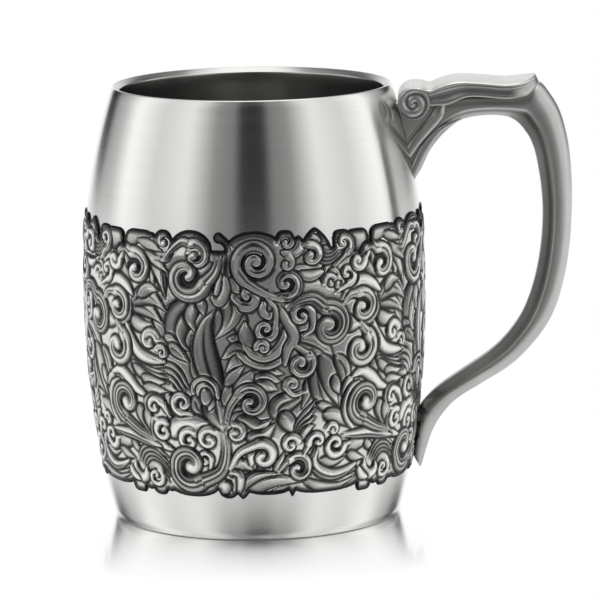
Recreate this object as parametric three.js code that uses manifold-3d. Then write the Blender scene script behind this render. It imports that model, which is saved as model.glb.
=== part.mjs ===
// A lidless pewter tankard: a barrel-shaped body, a flat base disc, a band of four cast relief
// panels, a cast handle and a moulded thumb rest that rolls into a volute against the barrel.
// Millimetres, +Z up. The origin is the centre of the foot face, and the handle points along +X.

import * as THREE from 'three';
import { mergeVertices } from 'three/addons/utils/BufferGeometryUtils.js';
import Module from 'manifold-3d';

// Barrel
const HEIGHT = 120;
const FOOT_RADIUS = 39.5;
const BELLY_RADIUS = 47.3;
const LIP_RADIUS = 38.4;
const BELLY_HEIGHT = 64;
const LOWER_BULGE = 2.25; // exponent of the curve from the belly to the foot
const UPPER_BULGE = 2.05; // exponent of the curve from the belly to the lip
const WALL = 2.6;
const LIP_DROP = 1.4; // the lip slopes down towards the inside
const LIP_ROUND = 0.5;
const FOOT_ROUND = 0.9;
const SEAT_GAP = 0.3; // clearance between soldered pieces

// Base disc, let into a rebate in the foot
const BASE_THICKNESS = 3;
const BASE_REBATE = 1.2; // how far the rebate cuts into the wall
const BASE_DISH_RADIUS = 30; // the inner floor is dished inside this radius
const BASE_DISH_DEPTH = 0.6;

// Relief band
const BAND_BOTTOM = 17;
const BAND_TOP = 82;
const BAND_RECESS = 1.3; // turned into the barrel for the panels
const PANEL_COUNT = 4;
const FIRST_SEAM = -119.5; // degrees from the handle, anticlockwise seen from above
const GROUND_DEPTH = 0.5; // ground of the ornament, below the barrel's curve
const BORDER_PROUD = 0.9; // lobed border that laps the plain wall, above the barrel's curve
const BORDER_ROUND = 0.7; // how far the border's edge is rounded over
const BORDER_WIDTH = 1.2; // how far the border reaches inside the recess
const CREST_PROUD = 0.3; // crests of the scrolls and leaves, above the barrel's curve
const SCROLL_TAPER = 0.6; // width of a scroll's inner end, as a share of its widest part
const SCROLL_CLOSING = 1.6; // exponent: above 1 a scroll closes in slowly at first, then turns into its eye
const STEM_TAPER = 0.4; // width of the thin end of the stem that leads to a scroll
const LEAF_TAPER = 0.15; // width of a leaf's two ends, as a share of its widest part

// Handle
const HAND_GAP = 32.6; // from the belly to the inside of the grip
const GRIP_DEPTH = 8.2;
const GRIP_WIDTH = 11;
const TAIL_WIDTH = 8;
const ARM_DROP = 7; // centre of the arm, below the lip
const ARM_ROOT_DEPTH = 6; // depth of the arm inside the volute
const TAIL_HEIGHT = 12.3; // lowest point of the tail, above the foot
const BRACKET_WIDTH = 8.6;
const BRACKET_DROP = 27; // bottom of the bracket, below the lip
const BRACKET_REACH = 18; // how far the bracket's web runs out under the arm
const BRACKET_TOE = 0.6; // thickness of the web at its bottom, outside the barrel
const RIB_RADIUS = 1.15;

// Thumb rest
const LEAF_WIDTH = 20;
const LEAF_LENGTH = 33.5; // from the centre of the volute to the tip
const LEAF_POINT = 7.2; // length over which the plan narrows to the tip
const LEAF_EDGE = 1.6; // height of the edge band
const LEAF_GROOVE = 1.2; // height of the hollow under it
const LEAF_RIB = 1.1; // height of the thin rib under the hollow
const LEAF_STEP = 1.3; // depth of the hollow
const LEAF_CHAMFER = 0.3; // slope of the hollow's two faces
const LEAF_TIP_WIDTH = 0.7;
const LEAF_TIP_BANDS = 0.4; // height of the bands at the tip, as a share of their full height
const VOLUTE_RADIUS = 4.4;
const VOLUTE_DROP = 4.9; // centre of the volute, below the lip
const VOLUTE_RELIEF = 0.5;
const VOLUTE_RIDGE = 0.88; // half width of the ridge that winds into the eye
const VOLUTE_TURNS = 1.75;
const VOLUTE_START = 120; // degrees: where the ridge leaves the leaf

// Facets
const BARREL_SEGMENTS = 40;
const FOOT_STEPS = 2; // along the barrel's curve below, across and above the band
const BAND_STEPS = 5;
const NECK_STEPS = 4;
const BORE_STEPS = 7;
const CURVE_STEPS = 8;
const PANEL_COLUMNS = 22;
const SCROLL_STEPS_PER_TURN = 7;
const LEAF_STEPS = 3;
const GRIP_STEPS = 26;
const VOLUTE_SEGMENTS = 24;
const RIB_SEGMENTS = 4;
const MERGE_DISTANCE = 1e-4;

const wasm = await Module();
wasm.setup();

const radians = THREE.MathUtils.degToRad;

// Outside of the plain barrel at a height: two curves that meet level at the belly
function barrelRadius(z) {
  if (z < BELLY_HEIGHT) {
    const below = (BELLY_HEIGHT - z) / BELLY_HEIGHT;
    return BELLY_RADIUS - (BELLY_RADIUS - FOOT_RADIUS) * below ** LOWER_BULGE;
  }
  const above = (z - BELLY_HEIGHT) / (HEIGHT - BELLY_HEIGHT);
  return BELLY_RADIUS - (BELLY_RADIUS - LIP_RADIUS) * above ** UPPER_BULGE;
}

// Point on the barrel: degrees round the axis from the handle, height, and distance from the plain curve
function onBarrel(angle, z, proud) {
  const r = barrelRadius(z) + proud;
  return new THREE.Vector3(r * Math.cos(radians(angle)), r * Math.sin(radians(angle)), z);
}

function steps(from, to, count) {
  return Array.from({ length: count + 1 }, (_, i) => from + ((to - from) * i) / count);
}

// Solids and meshes

function signedVolume(position, index) {
  const a = new THREE.Vector3();
  const b = new THREE.Vector3();
  const c = new THREE.Vector3();
  let sum = 0;
  for (let i = 0; i < index.length; i += 3) {
    a.fromBufferAttribute(position, index[i]);
    b.fromBufferAttribute(position, index[i + 1]);
    c.fromBufferAttribute(position, index[i + 2]);
    sum += a.dot(b.cross(c)) / 6;
  }
  return sum;
}

// A closed geometry with shared vertices, no collapsed triangles and its faces pointing out
function closed(geometry) {
  const bare = geometry.clone();
  bare.deleteAttribute('normal');
  bare.deleteAttribute('uv');
  const merged = mergeVertices(bare, MERGE_DISTANCE);
  const index = [];
  for (let i = 0; i < merged.index.count; i += 3) {
    const [a, b, c] = [0, 1, 2].map((k) => merged.index.getX(i + k));
    if (a !== b && b !== c && c !== a) index.push(a, b, c);
  }
  if (signedVolume(merged.attributes.position, index) < 0) index.reverse();
  merged.setIndex(index);
  return merged;
}

function solid(geometry) {
  const shape = closed(geometry);
  return new wasm.Manifold(
    new wasm.Mesh({
      numProp: 3,
      vertProperties: new Float32Array(shape.attributes.position.array),
      triVerts: new Uint32Array(shape.index.array),
    }),
  );
}

function geometryOf(manifold) {
  const { vertProperties, triVerts } = manifold.getMesh();
  const geometry = new THREE.BufferGeometry();
  geometry.setAttribute('position', new THREE.BufferAttribute(vertProperties, 3));
  geometry.setIndex(Array.from(triVerts));
  return geometry;
}

function part(name, geometry, material) {
  geometry.computeVertexNormals();
  const mesh = new THREE.Mesh(geometry, material);
  mesh.name = name;
  return mesh;
}

// A profile of [radius, height] points turned about the Z axis
function turned(profile) {
  const points = profile.map(([r, z]) => new THREE.Vector2(r, z));
  return new THREE.LatheGeometry(points, BARREL_SEGMENTS).rotateX(Math.PI / 2);
}

// A skin through rings of points, with flat ends
function loft(rings) {
  const around = rings[0].length;
  const index = [];
  for (let i = 0; i + 1 < rings.length; i += 1) {
    for (let j = 0; j < around; j += 1) {
      const a = i * around + j;
      const b = i * around + ((j + 1) % around);
      index.push(a, b, a + around, b, b + around, a + around);
    }
  }
  const last = (rings.length - 1) * around;
  for (let j = 1; j + 1 < around; j += 1) {
    index.push(0, j + 1, j, last, last + j, last + j + 1);
  }
  const geometry = new THREE.BufferGeometry().setFromPoints(rings.flat());
  geometry.setIndex(index);
  return geometry;
}

// A plate between a front and a back grid of points, closed round its edges
function plate(front, back) {
  const columns = front.length;
  const rows = front[0].length;
  const count = columns * rows;
  const at = (i, j, side) => side * count + i * rows + j;
  const index = [];
  const quad = (a, b, c, d) => index.push(a, b, c, a, c, d);
  for (let i = 0; i + 1 < columns; i += 1) {
    for (let j = 0; j + 1 < rows; j += 1) {
      quad(at(i, j, 0), at(i + 1, j, 0), at(i + 1, j + 1, 0), at(i, j + 1, 0));
      quad(at(i, j, 1), at(i, j + 1, 1), at(i + 1, j + 1, 1), at(i + 1, j, 1));
    }
    quad(at(i, 0, 1), at(i + 1, 0, 1), at(i + 1, 0, 0), at(i, 0, 0));
    quad(at(i, rows - 1, 0), at(i + 1, rows - 1, 0), at(i + 1, rows - 1, 1), at(i, rows - 1, 1));
  }
  for (let j = 0; j + 1 < rows; j += 1) {
    quad(at(0, j, 1), at(0, j, 0), at(0, j + 1, 0), at(0, j + 1, 1));
    quad(at(columns - 1, j, 0), at(columns - 1, j, 1), at(columns - 1, j + 1, 1), at(columns - 1, j + 1, 0));
  }
  const geometry = new THREE.BufferGeometry().setFromPoints([...front.flat(), ...back.flat()]);
  geometry.setIndex(index);
  return geometry;
}

// Barrel wall

// Outside of the wall from the foot to the lip, with the turned recess of the band
function outsideProfile(offset) {
  const curve = (from, to, depth, count) =>
    steps(from, to, count).map((z) => [barrelRadius(z) - depth + offset, z]);
  return [
    ...curve(FOOT_ROUND, BAND_BOTTOM, 0, FOOT_STEPS),
    ...curve(BAND_BOTTOM, BAND_TOP, BAND_RECESS, BAND_STEPS),
    ...curve(BAND_TOP, HEIGHT - LIP_ROUND, 0, NECK_STEPS),
  ];
}

function barrelWall() {
  const rebate = FOOT_RADIUS - WALL + BASE_REBATE;
  const shoulder = BASE_THICKNESS + SEAT_GAP;
  const inside = steps(HEIGHT - LIP_DROP, shoulder, BORE_STEPS).map((z) => [barrelRadius(z) - WALL, z]);
  return turned([
    [rebate, 0],
    [FOOT_RADIUS - FOOT_ROUND, 0],
    ...outsideProfile(0),
    [LIP_RADIUS - LIP_ROUND, HEIGHT],
    ...inside,
    [rebate, shoulder],
    [rebate, 0],
  ]);
}

// Base disc

function basePlate() {
  const radius = FOOT_RADIUS - WALL + BASE_REBATE - SEAT_GAP;
  return turned([
    [0, 0],
    [radius, 0],
    [radius, BASE_THICKNESS],
    [BASE_DISH_RADIUS, BASE_THICKNESS],
    [0, BASE_THICKNESS - BASE_DISH_DEPTH],
  ]);
}

// Relief panels

// Lobes of the band's two edges: degrees from the panel's seam, half width in degrees, reach in mm
const TOP_LOBES = [
  [0, 4, 3.4],
  [10, 7, 4.0],
  [20.5, 2, 3.6],
  [31.5, 9, 4.0],
  [42.5, 4, 4.2],
  [53, 5.5, 4.3],
  [63, 3.5, 3.2],
  [70.5, 5, 3.3],
  [82, 6.5, 3.6],
  [90, 4, 3.4],
];
const BOTTOM_LOBES = [
  [9, 11, 4.6],
  [21.5, 3.5, 4.6],
  [33, 9, 3.6],
  [44.5, 2.5, 4.2],
  [59, 12, 3.8],
  [74.5, 5, 5.0],
  [84, 5, 5.0],
];

// Main scrolls: degrees from the seam, height, radius, turns (anticlockwise seen from outside when
// positive), direction of the outer end in degrees, half width, and points of the stem that leads to it
const SCROLLS = [
  [12, 79.5, 3.3, -0.95, 110, 1, [[2, 78], [4.5, 81], [7.5, 83]]],
  [9.8, 73.3, 4.9, -1.05, -20, 1.6, [[20.5, 79], [18.8, 75]]],
  [32.5, 77.6, 6, -1.05, -125, 1, [[41, 67.3], [35, 69.3]]],
  [42.6, 71.5, 3.3, 1.15, -110, 1, [[37, 69.5]]],
  [50.6, 79.2, 2.7, -0.85, 100, 0.9, []],
  [56.8, 60, 4.8, -1.05, 100, 1.7, [[43, 65.3], [47, 67], [51, 67]]],
  [47.3, 49.8, 3, -1.15, 50, 1, [[44.8, 54.8]]],
  [70, 64, 3.2, -1.1, 110, 1.1, [[62, 65], [65.5, 67]]],
  [69.3, 52.8, 4.3, -1.05, 50, 1.5, [[69, 59.5]]],
  [85, 55.3, 2.5, 0.9, 20, 1.1, []],
  [79.5, 74.6, 3.6, -0.8, 100, 1, [[73, 80]]],
  [15.3, 29.2, 2.5, 1.1, 60, 0.9, []],
  [7.7, 20.8, 5.2, -1.1, -50, 1.7, [[21, 32], [21, 25], [18.5, 19.5]]],
  [30, 39.7, 3.8, -1.15, 150, 1.1, [[21.8, 33.5], [23, 38]]],
  [33.6, 24.8, 3.2, -0.85, 100, 1.3, [[22.5, 21], [26, 25.5]]],
  [46.3, 20.9, 3.3, -1.15, 140, 1, [[39.5, 20]]],
  [60.3, 26.2, 2.9, -1.15, -10, 1, []],
  [71.8, 37.2, 4.6, -1.1, -100, 1.5, [[83, 28], [77.5, 29.8]]],
];

// Main leaves: half width, and points from one end to the other in degrees from the seam and height
const LEAVES = [
  [2.2, [[23.5, 82], [22.8, 72], [24, 64.5], [18.8, 57]]],
  [2.3, [[9.5, 66], [5.3, 60.5], [8.5, 54.3]]],
  [1.7, [[19, 65], [14.8, 57], [16.5, 46]]],
  [1.2, [[29.5, 54.5], [25, 54], [21, 51.5]]],
  [1.6, [[45, 56.5], [54, 53.5], [59, 47]]],
  [1.6, [[53, 48.5], [54.5, 42], [60, 37]]],
  [1, [[61.5, 66.3], [69.5, 70.8], [78, 67.3]]],
  [1.7, [[72.5, 79.5], [74, 75], [77.5, 71]]],
  [1.2, [[74.5, 59.5], [79, 52.5], [89, 49.5]]],
  [1.4, [[75.5, 50], [82, 46.8], [89, 46.5]]],
  [1.8, [[14.5, 33.3], [5, 32.5], [2, 29.5]]],
  [2, [[17.8, 40.5], [19, 36], [20.5, 31.5]]],
  [1.4, [[28, 17.5], [35, 18.5], [48, 17.5]]],
  [1.2, [[53, 25.5], [54, 19.8], [62, 18.3], [69.5, 20.3]]],
  [1.2, [[75.3, 21], [81.5, 24.5], [89, 22.5]]],
  [1.5, [[38.5, 36], [42, 39.5], [49, 40.8]]],
  [1, [[22, 39.5], [26, 46], [31, 49]]],
];

// From the recess's edge to the foot of the border's inner slope
const groundInset = BORDER_WIDTH + BORDER_PROUD + GROUND_DEPTH;

function lobe(lobes, angle) {
  const heights = lobes.map(([centre, half, reach]) => {
    const t = (angle - centre) / half;
    return Math.abs(t) < 1 ? reach * Math.sqrt(1 - t * t) : 0;
  });
  return Math.max(...heights);
}

// The panel's front rises from each lobed edge to a border and falls to the ground inside the recess
function panelBlank(angleGap) {
  const span = 360 / PANEL_COUNT;
  const angles = steps(angleGap, span - angleGap, PANEL_COLUMNS);
  const column = (angle, sink) => {
    const border = (edge, towards, reach) => [
      [edge - towards * reach, BORDER_PROUD - BORDER_ROUND / 2],
      [edge - towards * (reach - BORDER_ROUND), BORDER_PROUD],
      [edge + towards * BORDER_WIDTH, BORDER_PROUD],
    ];
    const ground = steps(BAND_BOTTOM + groundInset, BAND_TOP - groundInset, BAND_STEPS);
    const places = [
      ...border(BAND_BOTTOM, 1, lobe(BOTTOM_LOBES, angle)),
      ...ground.map((z) => [z, -GROUND_DEPTH]),
      ...border(BAND_TOP, -1, lobe(TOP_LOBES, angle)).toReversed(),
    ];
    return places.map(([z, proud]) => onBarrel(angle, z, proud - sink));
  };
  const sink = BAND_RECESS + BORDER_PROUD + WALL / 2;
  return plate(
    angles.map((angle) => column(angle, 0)),
    angles.map((angle) => column(angle, sink)),
  );
}

// Place on the unrolled panel: millimetres round the belly and up
function unrolled([angle, z]) {
  return new THREE.Vector2(radians(angle) * BELLY_RADIUS, z);
}

// A ridge along a path on the unrolled panel
function ridge(path, halfWidths) {
  const root = GROUND_DEPTH + SEAT_GAP;
  const rings = path.map((point, i) => {
    const before = path[Math.max(i - 1, 0)];
    const after = path[Math.min(i + 1, path.length - 1)];
    const along = after.clone().sub(before).normalize();
    const place = (out, proud) => {
      const x = point.x - along.y * out;
      const z = point.y + along.x * out;
      return onBarrel(THREE.MathUtils.radToDeg(x / BELLY_RADIUS), z, proud);
    };
    return [place(halfWidths[i], -root), place(0, CREST_PROUD), place(-halfWidths[i], -root)];
  });
  return loft(rings);
}

// A stem that winds inwards round an eye
function scroll([angle, height, radius, turns, start, half, stem]) {
  const eye = unrolled([angle, height]);
  const count = Math.ceil(Math.abs(turns) * SCROLL_STEPS_PER_TURN);
  const shares = steps(0, 1, count);
  const spiral = shares.map((t) => {
    const reach = THREE.MathUtils.lerp(radius, half * SCROLL_TAPER, t ** SCROLL_CLOSING);
    const direction = radians(start) + 2 * Math.PI * turns * t;
    return new THREE.Vector2(Math.cos(direction), Math.sin(direction)).multiplyScalar(reach).add(eye);
  });
  const stemWidths = stem.map((_, i) => half * THREE.MathUtils.lerp(STEM_TAPER, 1, i / stem.length));
  const windingWidths = shares.map((t) => half * THREE.MathUtils.lerp(1, SCROLL_TAPER, t));
  return ridge([...stem.map(unrolled), ...spiral], [...stemWidths, ...windingWidths]);
}

function leafRidge([half, points]) {
  const path = new THREE.SplineCurve(points.map(unrolled)).getPoints(LEAF_STEPS);
  const widths = path.map((_, i) => half * Math.max(Math.sin((Math.PI * i) / LEAF_STEPS), LEAF_TAPER));
  return ridge(path, widths);
}

// Sector of the barrel that one panel's ornament keeps to
function panelSector(angleGap) {
  const far = 2 * BELLY_RADIUS;
  const shape = new THREE.Shape();
  shape.absarc(0, 0, far, radians(angleGap), radians(360 / PANEL_COUNT - angleGap));
  shape.lineTo(0, 0);
  return new THREE.ExtrudeGeometry(shape, { depth: HEIGHT, bevelEnabled: false, curveSegments: CURVE_STEPS });
}

function reliefPanel() {
  const angleGap = THREE.MathUtils.radToDeg(SEAT_GAP / 2 / FOOT_RADIUS);
  const outside = outsideProfile(SEAT_GAP);
  const foot = [[0, 0], [FOOT_RADIUS + SEAT_GAP, 0]];
  const clearance = turned([...foot, ...outside, [LIP_RADIUS, HEIGHT], [0, HEIGHT]]);
  const ridges = [...SCROLLS.map(scroll), ...LEAVES.map(leafRidge)].map(solid);
  const ornament = ridges.reduce((sum, each) => sum.add(each)).intersect(solid(panelSector(2 * angleGap)));
  const cast = solid(panelBlank(angleGap)).add(ornament);
  return geometryOf(cast.subtract(solid(clearance.rotateZ(radians(-FIRST_SEAM)))));
}

// Thumb rest

const voluteZ = HEIGHT - VOLUTE_DROP;
const voluteX = barrelRadius(voluteZ) + SEAT_GAP + VOLUTE_RADIUS;
const leafTip = voluteX + LEAF_LENGTH;

// Top of the leaf from the volute to the upturned tip: share of the length and height against the lip
const leafTop = new THREE.SplineCurve(
  [
    [0, -3.2],
    [0.14, -1.2],
    [0.28, 0.3],
    [0.42, 0.6],
    [0.6, 0.1],
    [0.78, -0.2],
    [0.92, 0.6],
    [1, 1.7],
  ].map(([share, rise]) => new THREE.Vector2(voluteX + LEAF_LENGTH * share, HEIGHT + rise)),
);

// Half sections of the leaf are stepped: an edge band, a hollow, a thin rib, then a flat seat
function leafRing(x, top, half, grow, rise) {
  const shrink = THREE.MathUtils.lerp(LEAF_TIP_BANDS, 1, (2 * half) / LEAF_WIDTH);
  const heights = [LEAF_EDGE, LEAF_EDGE + LEAF_GROOVE, LEAF_EDGE + LEAF_GROOVE + LEAF_RIB];
  const bands = heights.map((height) => height * shrink);
  const hollow = Math.max(half - LEAF_STEP, half / 2) + grow;
  const edge = half + grow;
  const rib = (edge + hollow) / 2;
  const side = [
    [edge, rise],
    [edge, -bands[0] - grow],
    [hollow, -bands[0] - LEAF_CHAMFER],
    [hollow, -bands[1]],
    [rib, -bands[1] - LEAF_CHAMFER],
    [rib, -bands[2] - grow],
  ];
  const mirrored = side.toReversed().map(([y, z]) => [-y, z]);
  return [...side, ...mirrored].map(([y, z]) => new THREE.Vector3(x, y, top + z));
}

function leafStrip(grow, rise) {
  const stations = steps(0, 1, 2 * CURVE_STEPS);
  const rings = stations.map((t) => {
    const { x, y } = leafTop.getPoint(t);
    const past = Math.max(0, 1 - (leafTip - x) / LEAF_POINT);
    const half = Math.max(LEAF_WIDTH * Math.sqrt(1 - past * past), LEAF_TIP_WIDTH) / 2;
    return leafRing(x + (t === 1 ? grow : 0), y, half, grow, rise);
  });
  return loft(rings);
}

function voluteRoll(grow, length) {
  const radius = VOLUTE_RADIUS + grow;
  const roll = new THREE.CylinderGeometry(radius, radius, length, VOLUTE_SEGMENTS);
  return roll.translate(voluteX, 0, 0).translate(0, 0, voluteZ);
}

// A ridge that winds into the eye on one end of the volute
function voluteSpiral(side) {
  const face = LEAF_WIDTH / 2;
  const rings = steps(0, 1, VOLUTE_SEGMENTS).map((t) => {
    const middle = THREE.MathUtils.lerp(VOLUTE_RADIUS - VOLUTE_RIDGE, VOLUTE_RIDGE, t);
    const direction = radians(VOLUTE_START) - 2 * Math.PI * VOLUTE_TURNS * t;
    const place = (out, proud) =>
      new THREE.Vector3(
        voluteX + (middle + out) * Math.cos(direction),
        side * (face + proud),
        voluteZ + (middle + out) * Math.sin(direction),
      );
    const foot = (out) => place(out, -VOLUTE_RELIEF);
    return [foot(VOLUTE_RIDGE), place(0, VOLUTE_RELIEF), foot(-VOLUTE_RIDGE)];
  });
  return loft(rings);
}

function thumbLeaf() {
  const spirals = [-1, 1].map((side) => solid(voluteSpiral(side)));
  const body = solid(leafStrip(0, 0)).add(solid(voluteRoll(0, LEAF_WIDTH)));
  return geometryOf(spirals.reduce((sum, spiral) => sum.add(spiral), body));
}

// Handle

// Stations along the arm and the grip: shares of the reach from the volute to the grip, of the fall
// from the arm to the tail's end, of the grip's depth and of its width
const GRIP_STATIONS = [
  [0.39, -0.008, 0.9, 1],
  [0.695, -0.01, 1.02, 1],
  [0.832, 0.002, 1.51, 1.09],
  [0.926, 0.07, 1.34, 1.09],
  [0.977, 0.147, 1.15, 1],
  [1, 0.288, 1, 1],
  [0.98, 0.417, 1, 1],
  [0.891, 0.546, 1, 1],
  [0.723, 0.65, 0.96, 1],
  [0.505, 0.722, 0.9, 1],
  [0.297, 0.782, 0.85, 1],
];

// Stations along the tail, which lies on the barrel: shares of the fall, of the grip's depth for the
// distance of the middle from the barrel and for the tail's own depth, and of the tail's width
const TAIL_STATIONS = [
  [0.844, 0.54, 0.78, 1],
  [0.914, 0.305, 0.61, 1],
  [0.973, 0.23, 0.415, 0.875],
  [1, 0.29, 0.146, 0.625],
];

// Middle of the handle: distance from the axis, height, depth and width
function handleStations() {
  const gripX = BELLY_RADIUS + HAND_GAP + GRIP_DEPTH / 2;
  const armZ = HEIGHT - ARM_DROP;
  const height = (fall) => THREE.MathUtils.lerp(armZ, TAIL_HEIGHT, fall);
  const arm = [voluteX, armZ, ARM_ROOT_DEPTH, BRACKET_WIDTH];
  const grip = GRIP_STATIONS.map(([reach, fall, depth, width]) => [
    THREE.MathUtils.lerp(voluteX, gripX, reach),
    height(fall),
    depth * GRIP_DEPTH,
    width * GRIP_WIDTH,
  ]);
  const tail = TAIL_STATIONS.map(([fall, away, depth, width]) => [
    barrelRadius(height(fall)) + away * GRIP_DEPTH,
    height(fall),
    depth * GRIP_DEPTH,
    width * TAIL_WIDTH,
  ]);
  return [arm, ...grip, ...tail];
}

// Half section of the grip from its back to its palm side: shares of the half depth and half width.
// The back is round, a crease runs along each side, and flat flanks narrow to the palm side.
const GRIP_SECTION = [
  [1, 0],
  [0.9, 0.5],
  [0.55, 0.88],
  [0.1, 1],
  [-0.3, 0.96],
  [-0.95, 0.5],
  [-1, 0.3],
];

function grip() {
  const stations = handleStations();
  const middle = new THREE.CatmullRomCurve3(stations.map(([x, z]) => new THREE.Vector3(x, 0, z)));
  const sizes = new THREE.CatmullRomCurve3(stations.map(([, , d, w]) => new THREE.Vector3(d / 2, w / 2, 0)));
  const outline = [...GRIP_SECTION, ...GRIP_SECTION.slice(1).toReversed().map(([d, w]) => [d, -w])];
  const rings = steps(0, 1, GRIP_STEPS).map((t) => {
    const point = middle.getPoint(t);
    const along = middle.getTangent(t);
    const back = new THREE.Vector3(-along.z, 0, along.x);
    const size = sizes.getPoint(t);
    return outline.map(([d, w]) => {
      const place = point.clone().addScaledVector(back, d * size.x);
      return place.setY(w * size.y);
    });
  });
  return loft(rings);
}

// Place beside the web: shares of its reach from the volute and of its drop below the lip
function onWeb(reach, drop) {
  return [voluteX + reach * BRACKET_REACH, HEIGHT - drop * BRACKET_DROP];
}

// The web between the arm and the barrel, with its hollow underside
function bracket() {
  const inner = (z) => barrelRadius(z) - WALL;
  const low = HEIGHT - BRACKET_DROP;
  const webTop = voluteZ - VOLUTE_RADIUS / 2;
  const shape = new THREE.Shape();
  shape.moveTo(inner(low), low);
  shape.lineTo(barrelRadius(low) + SEAT_GAP + BRACKET_TOE, low);
  shape.quadraticCurveTo(...onWeb(0.33, 0.59), ...onWeb(0.56, 0.41));
  shape.quadraticCurveTo(...onWeb(0.75, 0.35), ...onWeb(1, 0.34));
  shape.lineTo(voluteX + BRACKET_REACH, HEIGHT - ARM_DROP);
  shape.lineTo(voluteX, webTop);
  shape.lineTo(inner(webTop), webTop);
  shape.closePath();
  const web = new THREE.ExtrudeGeometry(shape, {
    depth: BRACKET_WIDTH,
    bevelEnabled: false,
    curveSegments: CURVE_STEPS,
  });
  return web.rotateX(Math.PI / 2).translate(0, BRACKET_WIDTH / 2, 0);
}

// Two ribs on each face of the web run down to the barrel: their start and bend on the web as shares
// of its reach and drop, and the drop of their foot
const RIB_ROUTES = [
  [[0.5, 0.29], [0.31, 0.48], 0.66],
  [[0.68, 0.36], [0.26, 0.61], 0.93],
];

function bracketRibs() {
  const round = new THREE.Shape().absarc(0, 0, RIB_RADIUS, 0, 2 * Math.PI);
  return RIB_ROUTES.flatMap(([start, bend, footDrop]) => {
    const footZ = HEIGHT - footDrop * BRACKET_DROP;
    const route = [onWeb(...start), onWeb(...bend), [barrelRadius(footZ), footZ]];
    return [-1, 1].map((side) => {
      const points = route.map(([x, z]) => new THREE.Vector3(x, (side * BRACKET_WIDTH) / 2, z));
      const path = new THREE.QuadraticBezierCurve3(...points);
      const rib = { steps: CURVE_STEPS, extrudePath: path, curveSegments: RIB_SEGMENTS, bevelEnabled: false };
      return new THREE.ExtrudeGeometry(round, rib);
    });
  });
}

function handle() {
  const leafRoom = solid(leafStrip(SEAT_GAP, ARM_DROP)).add(solid(voluteRoll(SEAT_GAP, 2 * LEAF_WIDTH)));
  const ribs = bracketRibs().map((rib) => solid(rib));
  const whole = ribs.reduce((sum, rib) => sum.add(rib), solid(grip()).add(solid(bracket())));
  return geometryOf(whole.subtract(barrelRoom()).subtract(leafRoom));
}

// Room that the barrel and its band take, with the clearance of a soldered seat
function barrelRoom() {
  const zone = (from, to, proud) =>
    steps(from, to, BAND_STEPS).map((z) => [barrelRadius(z) + proud + SEAT_GAP, z]);
  const furthest = (lobes) => Math.max(...lobes.map(([, , reach]) => reach));
  const low = BAND_BOTTOM - furthest(BOTTOM_LOBES) - SEAT_GAP;
  const high = BAND_TOP + furthest(TOP_LOBES) + SEAT_GAP;
  const outside = [
    ...zone(0, low, 0),
    ...zone(low, BAND_BOTTOM + groundInset, BORDER_PROUD),
    ...zone(BAND_BOTTOM + groundInset, BAND_TOP - groundInset, CREST_PROUD),
    ...zone(BAND_TOP - groundInset, high, BORDER_PROUD),
    ...zone(high, HEIGHT, 0),
  ];
  return solid(turned([[0, 0], ...outside, [0, HEIGHT]]));
}

// Assembly

const pewter = (color, roughness) => new THREE.MeshStandardMaterial({ color, roughness, metalness: 1 });

const tankard = new THREE.Group();
tankard.add(part('barrel_wall', barrelWall(), pewter(0xc9c8c4, 0.32)));
tankard.add(part('base_plate', basePlate(), pewter(0xbdbcb8, 0.4)));
const panel = reliefPanel();
for (let i = 0; i < PANEL_COUNT; i += 1) {
  const mesh = part(`relief_panel_${i + 1}`, panel.clone(), pewter(0x8e8d89, 0.5));
  mesh.rotation.z = radians(FIRST_SEAM + (i * 360) / PANEL_COUNT);
  tankard.add(mesh);
}
tankard.add(part('handle', handle(), pewter(0xa9a8a4, 0.42)));
tankard.add(part('thumb_leaf', thumbLeaf(), pewter(0xb4b3af, 0.38)));

export default tankard;
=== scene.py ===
import math

import bmesh
import bpy
import numpy as np
from mathutils import Matrix, Vector

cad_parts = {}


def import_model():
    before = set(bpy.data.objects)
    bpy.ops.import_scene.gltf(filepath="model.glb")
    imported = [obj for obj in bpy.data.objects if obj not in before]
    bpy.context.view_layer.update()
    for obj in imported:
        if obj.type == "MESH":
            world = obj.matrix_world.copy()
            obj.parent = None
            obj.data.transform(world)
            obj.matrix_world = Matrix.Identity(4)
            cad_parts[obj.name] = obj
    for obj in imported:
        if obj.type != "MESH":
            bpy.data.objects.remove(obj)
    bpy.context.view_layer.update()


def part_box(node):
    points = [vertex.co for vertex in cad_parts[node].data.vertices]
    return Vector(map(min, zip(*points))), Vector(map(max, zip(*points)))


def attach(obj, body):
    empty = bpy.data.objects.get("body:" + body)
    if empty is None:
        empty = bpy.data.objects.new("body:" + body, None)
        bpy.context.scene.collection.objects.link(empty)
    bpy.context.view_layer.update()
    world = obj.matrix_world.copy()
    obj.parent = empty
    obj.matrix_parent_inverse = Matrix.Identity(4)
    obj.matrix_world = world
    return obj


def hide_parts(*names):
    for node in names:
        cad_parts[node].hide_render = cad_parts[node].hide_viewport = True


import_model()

MM = 0.001
TINY = 1e-6  # strokes shorter or thinner than this count as this
MERGE_GRID = 1e-7  # metres within which the doubles of a grid and of a turned shape are merged
MERGE_TURNED = 1e-6

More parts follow.
